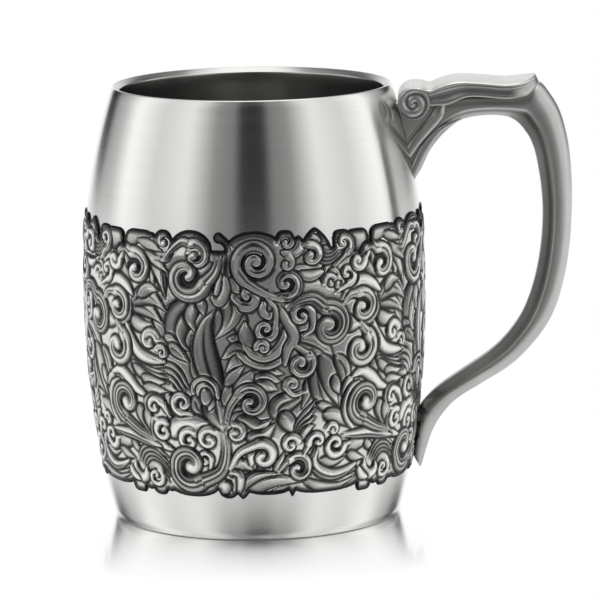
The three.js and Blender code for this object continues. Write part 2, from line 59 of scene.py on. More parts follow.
# Barrel
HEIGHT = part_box("barrel_wall")[1].z / MM
FOOT_RADIUS = 39.5
BELLY_RADIUS = 47.3
LIP_RADIUS = 38.4
BELLY_HEIGHT = 64
LOWER_BULGE = 2.25  # how late the wall curves in, below the belly and above it
UPPER_BULGE = 2.05
WALL = 2.6
LIP_DROP = 1.4  # the lip slopes down by this to its inner edge
LIP_ROUND = 0.45
LIP_INNER_ROUND = 0.3
LIP_INNER_INSET = 0.35  # centre of the inner round, from the bowl's wall and down from the lip's edge
LIP_INNER_SINK = 0.15
LIP_DARK = 0.3  # the lip is darker in colour from this far inside its outer edge
BOWL_DARK = 0.9  # share of the wall's thickness past which a point belongs to the darker bowl
BOWL_TOP = 0.5  # the bowl's wall starts this far below the lip's inner edge
BOWL_FLOOR = 3.2  # height at which it ends
BOWL_CORNER = 1.5  # width and fall of the corner where it meets the base disc
BOWL_CORNER_FALL = 0.15
FOOT_ROUND = 0.9
FOOT_CHAMFER = 0.4
FOOT_CHAMFER_RISE = 0.25
ROUND_GAP = 0.3  # the wall's curve keeps this far from the foot's and the lip's rounds
BARREL_STEPS = 256
BRUSH_TURN = 0.25  # turns from the tangent of the UV map to the brushing

# Base disc
BASE_SEAT = 0.6  # how far the disc is let into the wall
BASE_THICKNESS = 3
BASE_EDGE = 0.4
BASE_DISH_DEPTH = 0.6
BASE_DISH_START = 0.8  # share of the radius where the dish starts, and its depth there
BASE_DISH_START_DEPTH = 0.1
BASE_DISH_BEND = 0.5  # share of the radius where the dish has most of its depth, and that share
BASE_DISH_BEND_DEPTH = 0.8
BASE_STEPS = 128

# Relief band
PANEL_COUNT = 4
PANEL_SPAN = 360 / PANEL_COUNT
FIRST_SEAM = -119.5  # degrees from the handle, anticlockwise seen from above
PANEL_COLUMNS = 288
PANEL_ROWS = 320
PANEL_BACK_ROWS = 6
BAND_LOW = 9
BAND_HIGH = 89
RECESS_LOW = 17.2
RECESS_HIGH = 79.6
RECESS_DEPTH = 1.6
RIM_DEPTH = 0.7 * RECESS_DEPTH  # a panel's outermost rim lies this far inside the barrel's curve
GROUND = -0.35  # ground of the ornament, above the barrel's curve
EDGE_GROUND = 0.12  # ground where the ornament laps the plain wall
EDGE_RISE = 4  # height over which the ground rises to that
EDGE_FALL = 0.4  # width over which the edge falls to the rim
RELIEF = 0.65  # from the ground to the crests
UPPER_LEVEL = 81  # heights from which the lobes of the two edges reach
LOWER_LEVEL = 15.5
EDGE_STEPS = 720  # fineness of the lobed edges, and of the points that measure from them
EDGE_POINTS = 800
EDGE_OVERRUN = 0.06  # share of a panel by which those points run past its seams
BORDER_WIDTH = 1
BORDER_PROUD = 0.6
BORDER_FADE = 1.7  # the dark of the border fades out over this width
BORDER_START = 1.2  # more keeps the border dark farther from its edge
# Dark of the border: partly patina, partly painted shade along the band's lobed edges
BORDER_SHADE = 0.95

# Grid of a panel
DEGREE = BELLY_RADIUS * math.pi / 180  # millimetres round the belly
CELL = PANEL_SPAN * DEGREE / PANEL_COLUMNS
HEIGHTS = np.linspace(BAND_LOW, BAND_HIGH, PANEL_ROWS + 1)
HEIGHT_BLUR = 0.6  # cells over which heights and shades are softened
SHADE_BLUR = 0.5

# Strokes; a shade is patina and painted shade from 0, bright, to 1, dark, and heights are shares of the
# relief
GROUND_SHADE = 0.08
HOLLOW_SHADE = 0.75
GROOVE = -0.35  # height of the groove round a stroke
GROOVE_WIDTH = 0.5
GROOVE_SPREAD = 0.8  # less spreads the groove's dark wider
ROOT = 0.14  # share of a stroke over which it grows out of what lies under it
LINE_WIDTH = 0.15  # width of an engraved line, as a share of the half width
# A cut says where along a stroke its lines end, how long they fade before that, their depth and their shade

# Leaves
LEAF_FULL = 1.8  # how full they are drawn
LEAF_LEVEL = 0.86
LEAF_POINTS = 40
LEAF_POINTED = 1.1  # more gives sharper tips
LEAF_SWELL = 0.62  # less than 1 puts the widest place nearer to the stalk
LEAF_TIP = 0.06
LEAF_FOLD = 2.6  # more gives a sharper fold up the middle
LEAF_LOW_SIDE = 0.7  # height of the lower side of the fold
LEAF_SQUARE = 4  # flatness of the top, and roundness of its edges
LEAF_ROUND = 0.7
# Painted shade on the lower side of the fold; patina and painted shade on the flanks; darker towards the
# stalk
LEAF_FOLD_SHADE = 0.14
LEAF_FLANK_SHADE = 0.75
LEAF_STALK_SHADE = 0.3
LEAF_SHADE_RISE = 3  # more keeps the shade nearer to the flanks and the stalk
LEAF_LINES = {0: (), 1: (0,)}  # places across for each number of veins
LEAF_CUT = {"end": 0.9, "fade": 0.25, "depth": 0.35, "shade": 0.6}

# Stems and volutes, both drawn as ribbons
RIBBON_SQUARE = 3.6
RIBBON_ROUND = 0.6
# Patina and painted shade on a ribbon's flanks
RIBBON_SHADE = 0.85
RIBBON_SHADE_RISE = 2.3
RIBBON_LINES = {0: (), 1: (-0.3,), 2: (-0.12,), 3: (-0.4, 0.2)}  # places across for each kind of engraving
RIBBON_CUT = {"end": 0.94, "fade": 0.15, "depth": 0.45, "shade": 0.8}
STEM_FULL = 1.55
STEM_LEVEL = 0.93
STEM_POINTS = 60
STEM_GROWTH = 0.6  # less brings a stem to its full width sooner
STEM_TIP = 0.15
VOLUTE_FULL = 1.3
VOLUTE_LEVEL = 1
VOLUTE_TAPER = 0.5  # share of its width that a ribbon loses on its way in
MANY_TURNS = 1.5  # a volute with fewer turns dives into its eye like a comma
TURN_POINTS = 36  # points for each turn of a winding, and how many more it has
MORE_POINTS = 8
VOLUTE_EASE = 0.15  # share of its turning that such a one loses towards the eye
VOLUTE_CLOSING = 2.4  # more keeps it near its full radius for longer
EYE_START = 0.6  # share of the ribbon after which it swells into the eye
EYE_SWELL = 1.5  # more brings the swelling later
HOLLOW_INSET = 0.8  # share of the ribbon's width by which its hollow is smaller
LEAD_POINTS = 50
LEAD_START = 0.2  # width at the start of a leading stem, as a share of the ribbon's
LEAD_TARGET = 3  # point of the winding at which the leading stem is aimed
LEAD_CUT = 4  # points of the lead that the winding takes over

# Handle; shades are patina and painted shade, and places are shares of the depth from back to palm side or of
# the length
HANDLE_ROWS = 190
HANDLE_SIDE_POINTS = 41
WEB_LENGTH = 0.16  # share of the handle over which the bracket's web turns into the grip
SHADE_BESIDE_TOPS = 0.2  # painted shade everywhere but the rest's top and the roll's rim, which so read as painted highlights
# Painted shade along the crease between back and palm side, and on the palm side
CREASE_PLACE = 0.74
CREASE_WIDTH = 0.08
CREASE_SHADE = 0.5
PALM_START = 0.68
PALM_SHADE = 0.15
WEB_SHADE = 0.1
WEB_EDGE = 0.04  # the web's edges are left bright
LOWER_START = 0.55  # where the lower arm starts, and the length over which it sets in
LOWER_LENGTH = 0.2
LOWER_SHADE = 0.12  # painted shade that the lower arm has besides
LOWER_CREASE = 0.8  # share of the crease's painted shade that the lower arm loses
WEB_STATIONS = 6  # stations of the handle that belong to its bracket

# Mouldings on each side of the bracket: half thickness, how soon they reach it, and points along the middle
BRACKET_RIBS = [
    (2, 4, [(53, 117), (51.4, 111.5), (48.1, 107.3), (45.2, 103.7), (42.4, 99.6)]),
    (1.6, 1.8, [(57.8, 110.4), (51.9, 107.2), (47.8, 102.3), (44.9, 96.5), (43, 92.2)]),
]
RIB_SIDES = 16
RIB_ROWS = 32
RIB_START = 0.1  # share of the thickness at the upper and at the lower end
RIB_END = 0.75
RIB_SEAT = 0.2  # how far a rib's middle lies inside the web
RIB_PROUD = 0.85  # how far it stands out, as a share of its thickness
RIB_SHADE = 0.3  # patina in the corner between rib and web
BRACKET_PLATE = [(40, 114), (42.8, 104.8), (49, 112.4)]
BRACKET_RELIEF = 0.55
BRACKET_BEVEL = 0.3
BRACKET_BEVEL_STEPS = 3

# Thumb rest: its top along the middle
REST_TOP = [
    (44.7, 119.8), (46.6, 119.8), (49.1, 119.2), (51.6, 120.2), (54.5, 121.1), (58, 121.4), (64, 121),
    (70, 120.5), (74.5, 121), (78.1, 121.9),
]
# Half section of the thumb rest from the middle of its top: inset from the edge and depth
REST_SECTION = [
    (10, 0), (5, 0.03), (2.4, 0.1), (1.1, 0.22), (0.4, 0.4), (0.1, 0.6), (0, 0.8), (0.12, 0.95), (0.5, 1.05),
    (1.1, 1.25), (1.4, 1.7), (1.45, 2.2), (1.3, 2.7), (1, 3), (0.78, 3.15), (0.7, 3.4), (0.75, 3.7),
    (0.95, 3.9), (1.5, 4), (10, 4),
]
REST_ROWS = 110
REST_WIDTH = 20
REST_POINT = 7.2  # length of the rounded tip
REST_LEAST = 0.0004  # least square of the width's share, so that the very tip stays open
REST_SLANT = 0.45  # how far the underside runs past the tip, as a share of the depth
REST_DEEP = 1.12  # the section's depth is scaled by this, and by more near the volute
REST_BELLY = 0.5
REST_BELLY_X = 54
REST_BELLY_WIDTH = 4
REST_THIN = 3  # length before the tip over which the section thins to a half
REST_LIT_DEPTH = 0.9  # above this depth the rest's top has no painted shade, so it reads as a painted highlight
REST_UNDER_SHADE = 0.1  # painted shade under the rest's top for each millimetre of inset, and the most of it
REST_DARKEST = 0.4

# Volute of the thumb rest; places are shares of its radius
ROLL_RADIUS = 4.4
ROLL_X = 44.7
ROLL_Z = 115.1
ROLL_RINGS = 26
ROLL_STEPS = 72
ROLL_EYE = 0.02
ROLL_TURNS = 1.7
ROLL_START = 0.73  # turns by which the ridge is wound on
ROLL_INSET = 0.1
ROLL_RIDGE = 0.55
ROLL_RIDGE_ROUND = 0.7
ROLL_RIM = 0.08  # width of the plain rim, and how far its edge is rounded off
ROLL_RIM_ROUND = 0.35
ROLL_SHADE = 0.6
# Share of the radius past which the roll's rim has no painted shade, a painted highlight
ROLL_LIT_RIM = 0.97

# Studio
TABLE_HALF = 6000
TABLE_GREY = 0.5
TABLE_ROUGHNESS = 0.12
MIRROR_REACH = 45  # how far from the foot the table mirrors the tankard
MIRROR_FULL = 0.5  # openness of the table at which it mirrors most, and that most
MIRROR_SHARE = 0.95
FLAG_WIDTH = 1100  # dark card before the tankard
FLAG_LENGTH = 1400
FLAG_EDGE = 100  # from the barrel's axis to its nearer edge
FLAG_HEIGHT = 2
FLAG_TONE = 0.25
STUDIO_RADIUS = 1700
STUDIO_HEIGHT = 5000
STUDIO_STEPS = 96
OVERHEAD_PLACE = (100, 100, 1600)
OVERHEAD_AIM = (0, 0, 60)
OVERHEAD_SIZE = 1200
OVERHEAD_POWER = 4.2

# Brightness of the studio wall by degrees from the camera
STUDIO_TONES = [
    (0, 0.01),
    (9, 0.01),
    (14, 0.24),
    (28, 0.29),
    (49, 1.05),
    (75, 0.8),
    (102, 1.3),
    (118, 0.6),
    (132, 0.4),
    (140, 0.01),
    (152, 0.01),
    (160, 1),
    (180, 1),
]

# Camera, fitted to the photo
CAMERA_PLACE = (49.77, -1140, 262.5)
CAMERA_TURN = 2.5
CAMERA_PITCH = 10.106
CAMERA_YAW = 0.631
CAMERA_ROLL = -0.824
CAMERA_LENS = 250.1
CAMERA_SENSOR = 36
CAMERA_REACH = 50000

# Ornament of one panel, in degrees from its left seam and millimetres of height

# Leaves: half width, veins, and points from the stalk to the tip
LEAVES = [
    (0.9, 0, [(12, 66.8), (7, 66.2), (1, 64.6)]),
    (2.2, 1, [(13, 67), (7.5, 63.5), (5, 59.5), (5.8, 56), (9.5, 53.5)]),
    (1, 0, [(13, 67), (10.7, 64), (10.3, 61.5), (12.3, 58.5)]),
    (0.8, 0, [(13.5, 67.8), (14.5, 65.5), (15, 63.5)]),
    (1.5, 0, [(15, 51), (13, 54), (10.8, 57.5)]),
    (1.6, 0, [(16, 45), (13, 48), (10.3, 51.5)]),
    (2, 1, [(19, 42.5), (17, 47), (15.3, 52), (14.9, 57), (16, 61.5), (19.2, 65)]),
    (0.9, 0, [(20, 64.3), (20.4, 60.7), (18.7, 57)]),
    (1.4, 0, [(25, 64.5), (26.8, 61.5), (27.8, 57.8)]),
    (2.3, 1, [(23.8, 82), (22.6, 76), (23.3, 70), (24.6, 65), (23, 60.8), (18.8, 57)]),
    (0.8, 0, [(24.5, 73.5), (25.5, 71), (27, 69.5)]),
    (0.8, 0, [(25, 76.5), (27, 74), (30, 72.3)]),
    (1.2, 1, [(30, 54.6), (26.5, 56.6), (23, 57.3)]),
    (1.3, 1, [(29.8, 53.3), (25.5, 54), (20.8, 51.6)]),
    (1.1, 0, [(30.3, 55.3), (28.7, 58.5), (28.6, 62)]),
    (1, 0, [(29.5, 51.5), (25.5, 51), (22, 48)]),
    (0.8, 0, [(1, 57), (4, 55.8), (7, 53.3)]),
    (1, 1, [(2.5, 54.6), (6, 52.7), (9.5, 50.3)]),
    (0.9, 0, [(-1.5, 75), (0, 71.5), (1.2, 67.3)]),
    (1.9, 0, [(44.7, 61), (47.5, 58.5), (52, 57)]),
    (1.9, 1, [(45.3, 56.3), (51, 54.5), (55.5, 52), (58.7, 47.7)]),
    (1, 0, [(50.5, 82.3), (54, 83), (58, 81.5), (61, 81.7)]),
    (0.7, 0, [(55.5, 71.7), (55.7, 74.2), (58.8, 76.7)]),
    (0.6, 0, [(57, 73.7), (59.5, 74.2), (61.7, 72.7)]),
    (1.8, 0, [(66.3, 81.3), (70.5, 83), (75, 84.5)]),
    (1.4, 0, [(73, 80.8), (78, 83.3), (83, 84.3), (88, 84)]),
    (0.8, 0, [(80.5, 82.3), (86, 81.3), (90.5, 80)]),
    (2, 1, [(72.5, 79.6), (74.3, 75.3), (77.8, 71)]),
    (0.9, 0, [(84, 78.5), (86, 75), (86.3, 69)]),
    (0.9, 0, [(85.5, 78.3), (88.3, 74.5), (91.3, 68)]),
    (0.8, 0, [(83, 79.5), (88, 77), (93, 74)]),
    (1, 0, [(77, 61.5), (79.3, 59.8), (82, 57.4)]),
    (1.2, 1, [(77, 62.6), (80.5, 62), (84.3, 60.2), (87.6, 57.6)]),
    (1.3, 1, [(77.3, 64), (82, 64.3), (86.5, 62.8), (90.6, 60)]),
    (1.5, 1, [(77.8, 65.5), (82.5, 67.6), (87, 66.8), (92, 63.6)]),
    (1, 0, [(80.5, 67.4), (84.5, 69.6), (88.6, 69.3)]),
    (1.4, 0, [(61.5, 61.3), (65, 59.3), (69.8, 58.8)]),
    (1.2, 0, [(77, 60.8), (81, 59.2), (86, 60)]),
    (0.9, 0, [(0.5, 41.3), (2, 38), (4, 34.7)]),
    (1.2, 1, [(11, 40.5), (12.3, 37.3), (14, 33.8)]),
    (2.3, 1, [(17.8, 40.5), (18.8, 36.3), (20.5, 31.5)]),
    (0.8, 0, [(15.8, 42), (16.5, 39.3), (15.8, 37)]),
    (0.8, 0, [(26.3, 19.5), (28.2, 18.5), (26, 14.5)]),
    (0.9, 0, [(24, 35.3), (27, 37.3), (29.5, 38.3)]),
    (1, 0, [(23.3, 34), (27, 35.6), (31.5, 36)]),
    (1.1, 0, [(21.7, 39), (23.3, 43), (26, 46.5)]),
    (1.2, 0, [(25.5, 42), (28.5, 45.3), (32, 49)]),
    (0.8, 0, [(22, 44.5), (25, 47.3), (28.5, 50)]),
    (1.6, 1, [(38.3, 35.8), (40.3, 38.7), (44.5, 40), (49, 41)]),
    (0.8, 0, [(49.5, 45), (49.3, 42), (47.3, 37.5)]),
    (1.3, 0, [(40.7, 36), (43, 33.3), (45.7, 29.8)]),
    (1.8, 1, [(26.3, 34.8), (31.5, 31.8), (37, 34.8)]),
    (1.2, 0, [(29, 29.7), (34, 30), (38.5, 33.8)]),
    (1, 0, [(23.3, 20.5), (27, 22.2), (30.8, 20.3)]),
    (1, 0, [(32.7, 21.2), (35.5, 20.5), (39, 19.8)]),
    (0.9, 0, [(38.5, 20), (40.5, 22.5), (41.3, 25.3)]),
    (2, 0, [(26, 13), (30.5, 16.5), (37, 17.6), (49.5, 17)]),
    (0.7, 0, [(26.3, 15), (30, 18), (34.5, 19.3), (41, 19.3)]),
    (1.5, 1, [(52.5, 51.5), (52.6, 46), (54, 41), (57, 37.8), (61.5, 36.5)]),
    (1.6, 0, [(54, 51.5), (56.5, 47), (58, 42), (60.5, 37.5)]),
    (0.9, 0, [(58.7, 45.5), (60, 42.5), (62.5, 40)]),
    (1.2, 1, [(59.3, 51), (62.2, 48), (63.2, 44), (61.8, 40)]),
    (1, 0, [(62.8, 40.3), (64.5, 43.3), (66.5, 45.3)]),
    (0.7, 0, [(53, 38.3), (56.3, 37.2), (60, 36.8)]),
    (1.2, 0, [(55.5, 35.5), (61, 34), (66.5, 30.5)]),
    (1.4, 0, [(75.2, 48), (76.7, 44.7), (79.3, 41.2)]),
    (1, 0, [(78.3, 45.8), (80.5, 42.8), (83.3, 40.3)]),
    (1.2, 0, [(78, 36.5), (79.8, 33.5), (83, 28.3)]),
    (1, 0, [(81.5, 36), (82.6, 32.5), (85, 28.3)]),
    (1.2, 0, [(65.3, 24.7), (70, 26), (75, 25.3)]),
    (0.8, 0, [(65.5, 23.3), (69, 22), (73, 21.3)]),
    (0.7, 0, [(73, 26), (75, 24.5), (76.5, 23)]),
    (0.8, 0, [(54.7, 22.5), (59.5, 21.5), (64.5, 22.3)]),
]

# Fans of like leaves: how many, half width, and the points of the first and the last leaf
FANS = [
    (4, 0.55, [(54, 77), (58, 77.3), (62, 78.8)], [(54.5, 81), (57.5, 80.2), (61, 81.3)]),
    (4, 0.85, [(-0.5, 49.3), (5, 47.3), (9.3, 43)], [(-2, 43.8), (2, 43), (5, 41.7)]),
    (3, 0.95, [(31.7, 48.3), (36.5, 48), (41, 47.3)], [(32.3, 44.5), (36, 44), (39, 43)]),
    (4, 0.8, [(47.2, 28), (46.8, 33.3), (52.3, 39.7)], [(48, 29), (49.3, 31.3), (51.7, 32.5)]),
    (4, 0.85, [(75.5, 51), (80, 48.5), (90, 48.5)], [(77, 48), (82, 45.5), (92, 44)]),
    (2, 0.95, [(80.8, 45), (85.5, 44), (90.5, 44.3)], [(81.5, 42.3), (86, 41.8), (91, 41.8)]),
    (3, 0.8, [(52.5, 20), (58, 17.3), (64, 17.3), (70, 19)],
     [(48, 17.3), (54.5, 15), (61.5, 14.5), (69.5, 16.5)]),
    (5, 0.75, [(75, 21), (79, 24.5), (84, 25), (89.3, 23)],
     [(79.5, 19), (82.5, 20.3), (86, 19.3), (88.8, 16)]),
]

# Stems: half width, kind of engraved lines, and points along the middle
STEMS = [
    (0.7, 0, [(4.8, 82.5), (10, 85), (15, 82.5), (17.8, 80)]),
    (0.8, 0, [(16, 80.5), (18.5, 79.2), (21, 79.3)]),
    (0.7, 0, [(20.5, 75), (20.4, 71.5), (19, 68.5)]),
    (0.8, 0, [(22.3, 74), (22.5, 70), (20.3, 67), (17.8, 68.5)]),
    (0.9, 0, [(46.3, 84.5), (47.5, 82), (45, 79.9), (41, 80.3)]),
    (0.8, 0, [(48.3, 82.5), (51, 83.7), (54, 82.7)]),
    (0.7, 0, [(45.5, 76), (50, 75.5), (54.5, 76)]),
    (0.9, 0, [(46, 74.3), (50.5, 73.5), (55, 74.5)]),
    (0.9, 0, [(26, 53.3), (30, 51), (35.5, 50), (40.5, 51.7), (43.5, 55.5)]),
    (0.9, 0, [(28, 55.5), (31, 52.8), (35, 52), (39, 53.5), (41.5, 57), (42, 61)]),
    (0.9, 0, [(38.5, 66.5), (41.5, 63), (44.7, 57.5), (42.5, 54), (41.5, 49.5)]),
    (0.6, 0, [(33, 65.8), (34.7, 66.5), (34.5, 64.5), (36.5, 63), (38, 64.5)]),
    (1.1, 0, [(61.5, 66.3), (65.5, 69.5), (70, 71), (74.5, 69.8), (78, 67.3)]),
    (1, 0, [(76, 66), (75.5, 62.5), (72, 60), (68, 60.8)]),
    (1.1, 0, [(74.5, 59.5), (76.5, 55.5), (80, 51.7), (85, 50.3), (91, 50)]),
    (2, 0, [(15, 33.8), (9, 33.3), (4, 32), (1.7, 29.5)]),
    (0.8, 0, [(10.5, 41.5), (11.3, 44), (14.5, 45.3), (18, 44), (19.3, 40.5)]),
    (0.6, 0, [(12.4, 41.2), (12.7, 43.2), (14.7, 44), (16.7, 42.8), (17.2, 40.5)]),
    (1, 0, [(14.8, 43), (15, 41), (14.6, 39)]),
    (0.8, 0, [(20.3, 18.7), (23.5, 18.7), (24.6, 16.5), (23.5, 14.3)]),
    (0.7, 0, [(21.5, 20), (25.5, 19.5), (26, 16.8), (25, 13.7)]),
    (1.3, 0, [(19.8, 16.5), (20.5, 15.2)]),
    (0.9, 0, [(30, 22), (30.3, 25.3), (32.5, 26.5)]),
    (0.7, 0, [(50.5, 25.3), (50.7, 27.5), (52.2, 28.3)]),
    (1, 1, [(53.3, 26), (52, 22.5), (54, 19.7), (59, 18), (64, 18.4), (69.5, 20.3)]),
    (0.9, 0, [(67.3, 30), (64.5, 33.5), (63.7, 37.5), (65.3, 41.3), (69, 43.3)]),
    (1.1, 0, [(65.5, 45), (70, 46), (74, 44.3), (78, 41.5), (82.5, 40)]),
    (0.9, 0, [(82, 35.8), (82.3, 38.5), (85.3, 39.5), (89, 38), (91.5, 34.5)]),
    (0.8, 0, [(84, 33.3), (84.5, 29.5), (87.3, 26.7), (92, 25.3)]),
    (0.9, 1, [(62.5, 28.8), (68, 28.6), (74, 28.3), (80, 27.2), (87, 26)]),
    (1, 0, [(73, 21), (73.5, 18), (76, 16.3), (78.6, 17.2), (78.8, 19.5)]),
    (0.8, 0, [(70.3, 19), (72, 16.7), (75, 15.5)]),
]

# Volutes: degrees, height, radius, turns (anticlockwise when positive), direction of the outer end,
# half width, radius of the ball in the eye, kind of engraved lines, and points of the stem that leads to it
VOLUTES = [
    (1, 82.3, 2.8, 0.85, -40, 0.9, 1.1, 1, [(-3, 78.5), (1.5, 77.8)]),
    (12, 79.4, 3.4, -0.95, 110, 1.1, 1.2, 1, [(0.5, 77.5), (4, 80.8), (7.5, 83)]),
    (9.8, 73.4, 4.9, -1.05, -20, 1.8, 1.3, 2, [(20.5, 79), (18.8, 75)]),
    (29.3, 68.4, 2.7, 0.9, -110, 1.2, 1, 0, [(24.7, 68.5)]),
    (42.6, 71.5, 3.4, 1.15, -110, 1.1, 1.1, 1, [(36, 70), (38.5, 68.3)]),
    (32.5, 77.6, 5.9, -1.8, -125, 1.25, 1.2, 0, [(41, 67.3), (35, 69.3)]),
    (42.4, 83, 2.3, -1.1, 180, 0.75, 0.8, 0, []),
    (42.3, 77.3, 1.9, -0.75, 70, 0.8, 0.8, 0, []),
    (50.6, 79.2, 2.8, -0.9, 100, 1, 1.3, 0, [(47.8, 82.3)]),
    (47.6, 63.2, 2.8, 1.2, 0, 1, 0.8, 0, [(47.5, 57.5), (51, 59.3)]),
    (56.8, 60, 4.8, -1.05, 100, 1.8, 2.1, 3, [(43, 65.3), (47, 67), (51.5, 67.3)]),
    (47.2, 49.8, 3.1, -1.2, 50, 1.1, 1.2, 1, [(44.8, 55)]),
    (35.5, 59.4, 2.6, -1.25, 10, 0.8, 0.8, 0, [(36, 68), (38.7, 65)]),
    (34.2, 54.6, 1.7, -1.1, 180, 0.7, 0.7, 0, []),
    (57.6, 71.6, 1.7, -1.1, 180, 0.7, 0.6, 0, []),
    (60.6, 71, 1.6, -1, 90, 0.7, 0.6, 0, []),
    (64, 72.8, 2.4, 0.95, -80, 0.95, 0.9, 0, [(59.5, 68.5)]),
    (68.8, 76.5, 2.3, -0.9, 0, 1, 1.2, 0, [(74.5, 80)]),
    (62.6, 81.3, 2.7, 0.75, -60, 1, 0.8, 1, [(59.3, 75.5)]),
    (78.6, 75, 4.1, -0.9, 105, 1.5, 1.4, 2, [(71.5, 79.3), (74.5, 80.2)]),
    (70, 64, 3.8, -1.1, 110, 1.3, 1.4, 2, [(62, 65), (65, 67.3)]),
    (69.3, 52.8, 4.3, -1.05, 50, 1.7, 1.9, 2, [(69, 59.3)]),
    (85, 55.3, 2.5, 0.95, 20, 1.2, 1, 0, []),
    (89.2, 52.4, 1.7, -1, 150, 0.75, 0.7, 0, []),
    (6.2, 38.7, 2.6, -1.25, -100, 0.95, 0.9, 0, [(10, 36)]),
    (8.1, 28.7, 2.6, 1.2, 50, 0.95, 1, 0, []),
    (15.4, 29.3, 2.6, 1.1, 60, 1, 1.3, 0, []),
    (13.6, 23.3, 1.9, 1.2, 0, 0.7, 0.7, 0, [(10, 17.8), (14.5, 19.5)]),
    (7.7, 20.9, 5.2, -1.15, -50, 1.9, 2, 3, [(20.5, 33), (21.3, 26), (19, 20)]),
    (30, 39.8, 3.8, -1.2, 150, 1.2, 1.1, 2, [(21.7, 33.3), (23, 38)]),
    (24.7, 31.3, 2.3, -1.1, 100, 0.9, 1.2, 0, []),
    (33.6, 24.8, 3.3, -0.9, 100, 1.4, 1.4, 0, [(22.5, 21), (26, 25.5)]),
    (43.9, 27.6, 2.2, 1.1, 20, 0.95, 0.9, 0, []),
    (46.4, 20.8, 3.4, -1.2, 140, 1.1, 1, 1, [(39.5, 20)]),
    (43.8, 44, 1.7, -0.95, 200, 0.8, 0.8, 0, [(49, 42.3), (44.5, 41.3)]),
    (53, 27.6, 2.4, -0.8, 190, 0.95, 0.9, 0, [(48, 24)]),
    (60.3, 26.2, 2.9, -1.25, -10, 1, 1, 0, [(66, 26.5)]),
    (58.6, 30.7, 1.7, -1, 170, 0.75, 0.8, 0, []),
    (71.8, 37.2, 4.6, -1.15, -100, 1.7, 1.9, 3, [(84, 28), (77.5, 29.8)]),
    (85.5, 37.3, 2.1, 1, 30, 0.85, 0.9, 0, []),
    (88.2, 30.7, 2.5, 1.25, 60, 0.95, 0.9, 0, [(84.3, 33.8)]),
    (83.4, 17.3, 2.4, -1.3, 60, 0.8, 0.7, 0, []),
]

# Lobes of the panel's two edges: degrees from the seam, half width in degrees, reach in millimetres,
# and how square they are: 2 is round, more is squarer, less is pointed
UPPER_LOBES = [
    (0.3, 4, 4.9, 2.4),
    (10.5, 7.6, 5.2, 2),
    (32, 9.8, 5.1, 2),
    (42.3, 3.6, 5.2, 3),
    (46.8, 2.2, 3.6, 2),
    (52.6, 5.6, 5.5, 1.4),
    (62.3, 3.4, 4.3, 4),
    (68.5, 4.8, 4.1, 4),
    (80.3, 6.2, 4.4, 4),
    (84.6, 2.6, 4, 5),
]
LOWER_LOBES = [
    (8, 10, 3, 2),
    (21.4, 3.8, 3.1, 2.2),
    (26.6, 3.6, 3.3, 1.2),
    (36, 8, 2.1, 2.5),
    (44.6, 1.9, 2.9, 1.2),
    (58, 13, 2.4, 2.6),
    (74, 3.6, 3.6, 4),
    (79.5, 2.6, 2.4, 2),
    (84.3, 3.8, 3.5, 2.4),
    (89, 2.4, 2.2, 2),
]
# A knob that overhangs the upper edge, as discs: degrees, height and radius
HOOK = [
    (20.2, 84.3, 1.5),
    (21, 84, 1.3),
    (21.8, 83.6, 1.2),
    (22.6, 83, 1.2),
    (23.4, 82.2, 1.3),
]

# Handle: points on its back and on its palm side, distance from the axis and height, and its width
HANDLE_STATIONS = [
    ((38.5, 114.6), (42.6, 90.4), 7.2),
    ((46, 115), (46.3, 95.6), 7.8),
    ((50, 115.5), (49.1, 101.2), 8.6),
    ((54, 116), (53, 105.9), 9.6),
    ((59, 116.8), (58, 109.5), 10.6),
    ((65, 117), (64.5, 110.65), 11.2),
    ((71, 117.3), (69.5, 110.4), 11.6),
    ((75.6, 118.3), (72.1, 109.4), 11.8),
    ((79.1, 119.8), (74, 107.8), 11.8),
    ((82.3, 116.2), (75.3, 106.1), 11.6),
    ((84.8, 111.7), (76.6, 104), 11.4),
    ((86.5, 106), (77.9, 100.5), 11.2),
    ((87.6, 99.5), (78.9, 95.5), 11),
    ((88.1, 91.6), (79.6, 90.5), 11),
    ((88.1, 84.9), (80, 84), 11),
    ((87.6, 75.9), (79.6, 76), 11),
    ((86.3, 66.9), (78.4, 68), 11),
    ((83.9, 57.9), (76.4, 60.6), 11),
    ((80.6, 51.2), (73.6, 54.3), 11),
    ((75.2, 44.5), (69.2, 48.4), 11),
    ((70.1, 40), (64.4, 44.1), 11),
    ((63, 35.6), (58.4, 40.05), 11),
    ((56, 31.2), (51.5, 35.3), 10.4),
    ((51.8, 26.7), (47.6, 31.7), 9.4),
    ((49.1, 22.1), (45.2, 28.2), 8.6),
    ((47.5, 17.6), (43.9, 22.5), 7.6),
    ((46.3, 13.6), (43.3, 17), 6.4),
    ((45.7, 11.8), (43.3, 16.1), 5.6),
]

# Half sections from back to palm side: share of the depth and of the half width
GRIP_SECTION = [
    (0, 0), (0.012, 0.25), (0.06, 0.52), (0.16, 0.77), (0.3, 0.93), (0.45, 0.995), (0.57, 0.995),
    (0.64, 0.95), (0.7, 0.85), (0.82, 0.61), (0.95, 0.39), (0.985, 0.31), (1, 0.2), (1, 0),
]
WEB_SECTION = [
    (0, 0), (0, 0.45), (0, 0.8), (0.01, 0.93), (0.04, 0.99), (0.2, 1), (0.45, 1),
    (0.6, 1), (0.75, 1), (0.88, 1), (0.95, 0.98), (0.985, 0.9), (1, 0.7), (1, 0),
]


# Curves

def barrel_radius(z):
    """Outer radius of the barrel at a height."""
    z = np.asarray(z, float)
    below = np.clip((BELLY_HEIGHT - z) / BELLY_HEIGHT, 0, None)
    above = np.clip((z - BELLY_HEIGHT) / (HEIGHT - BELLY_HEIGHT), 0, None)
    low = (BELLY_RADIUS - FOOT_RADIUS) * below**LOWER_BULGE
    high = (BELLY_RADIUS - LIP_RADIUS) * above**UPPER_BULGE
    return BELLY_RADIUS - low - high


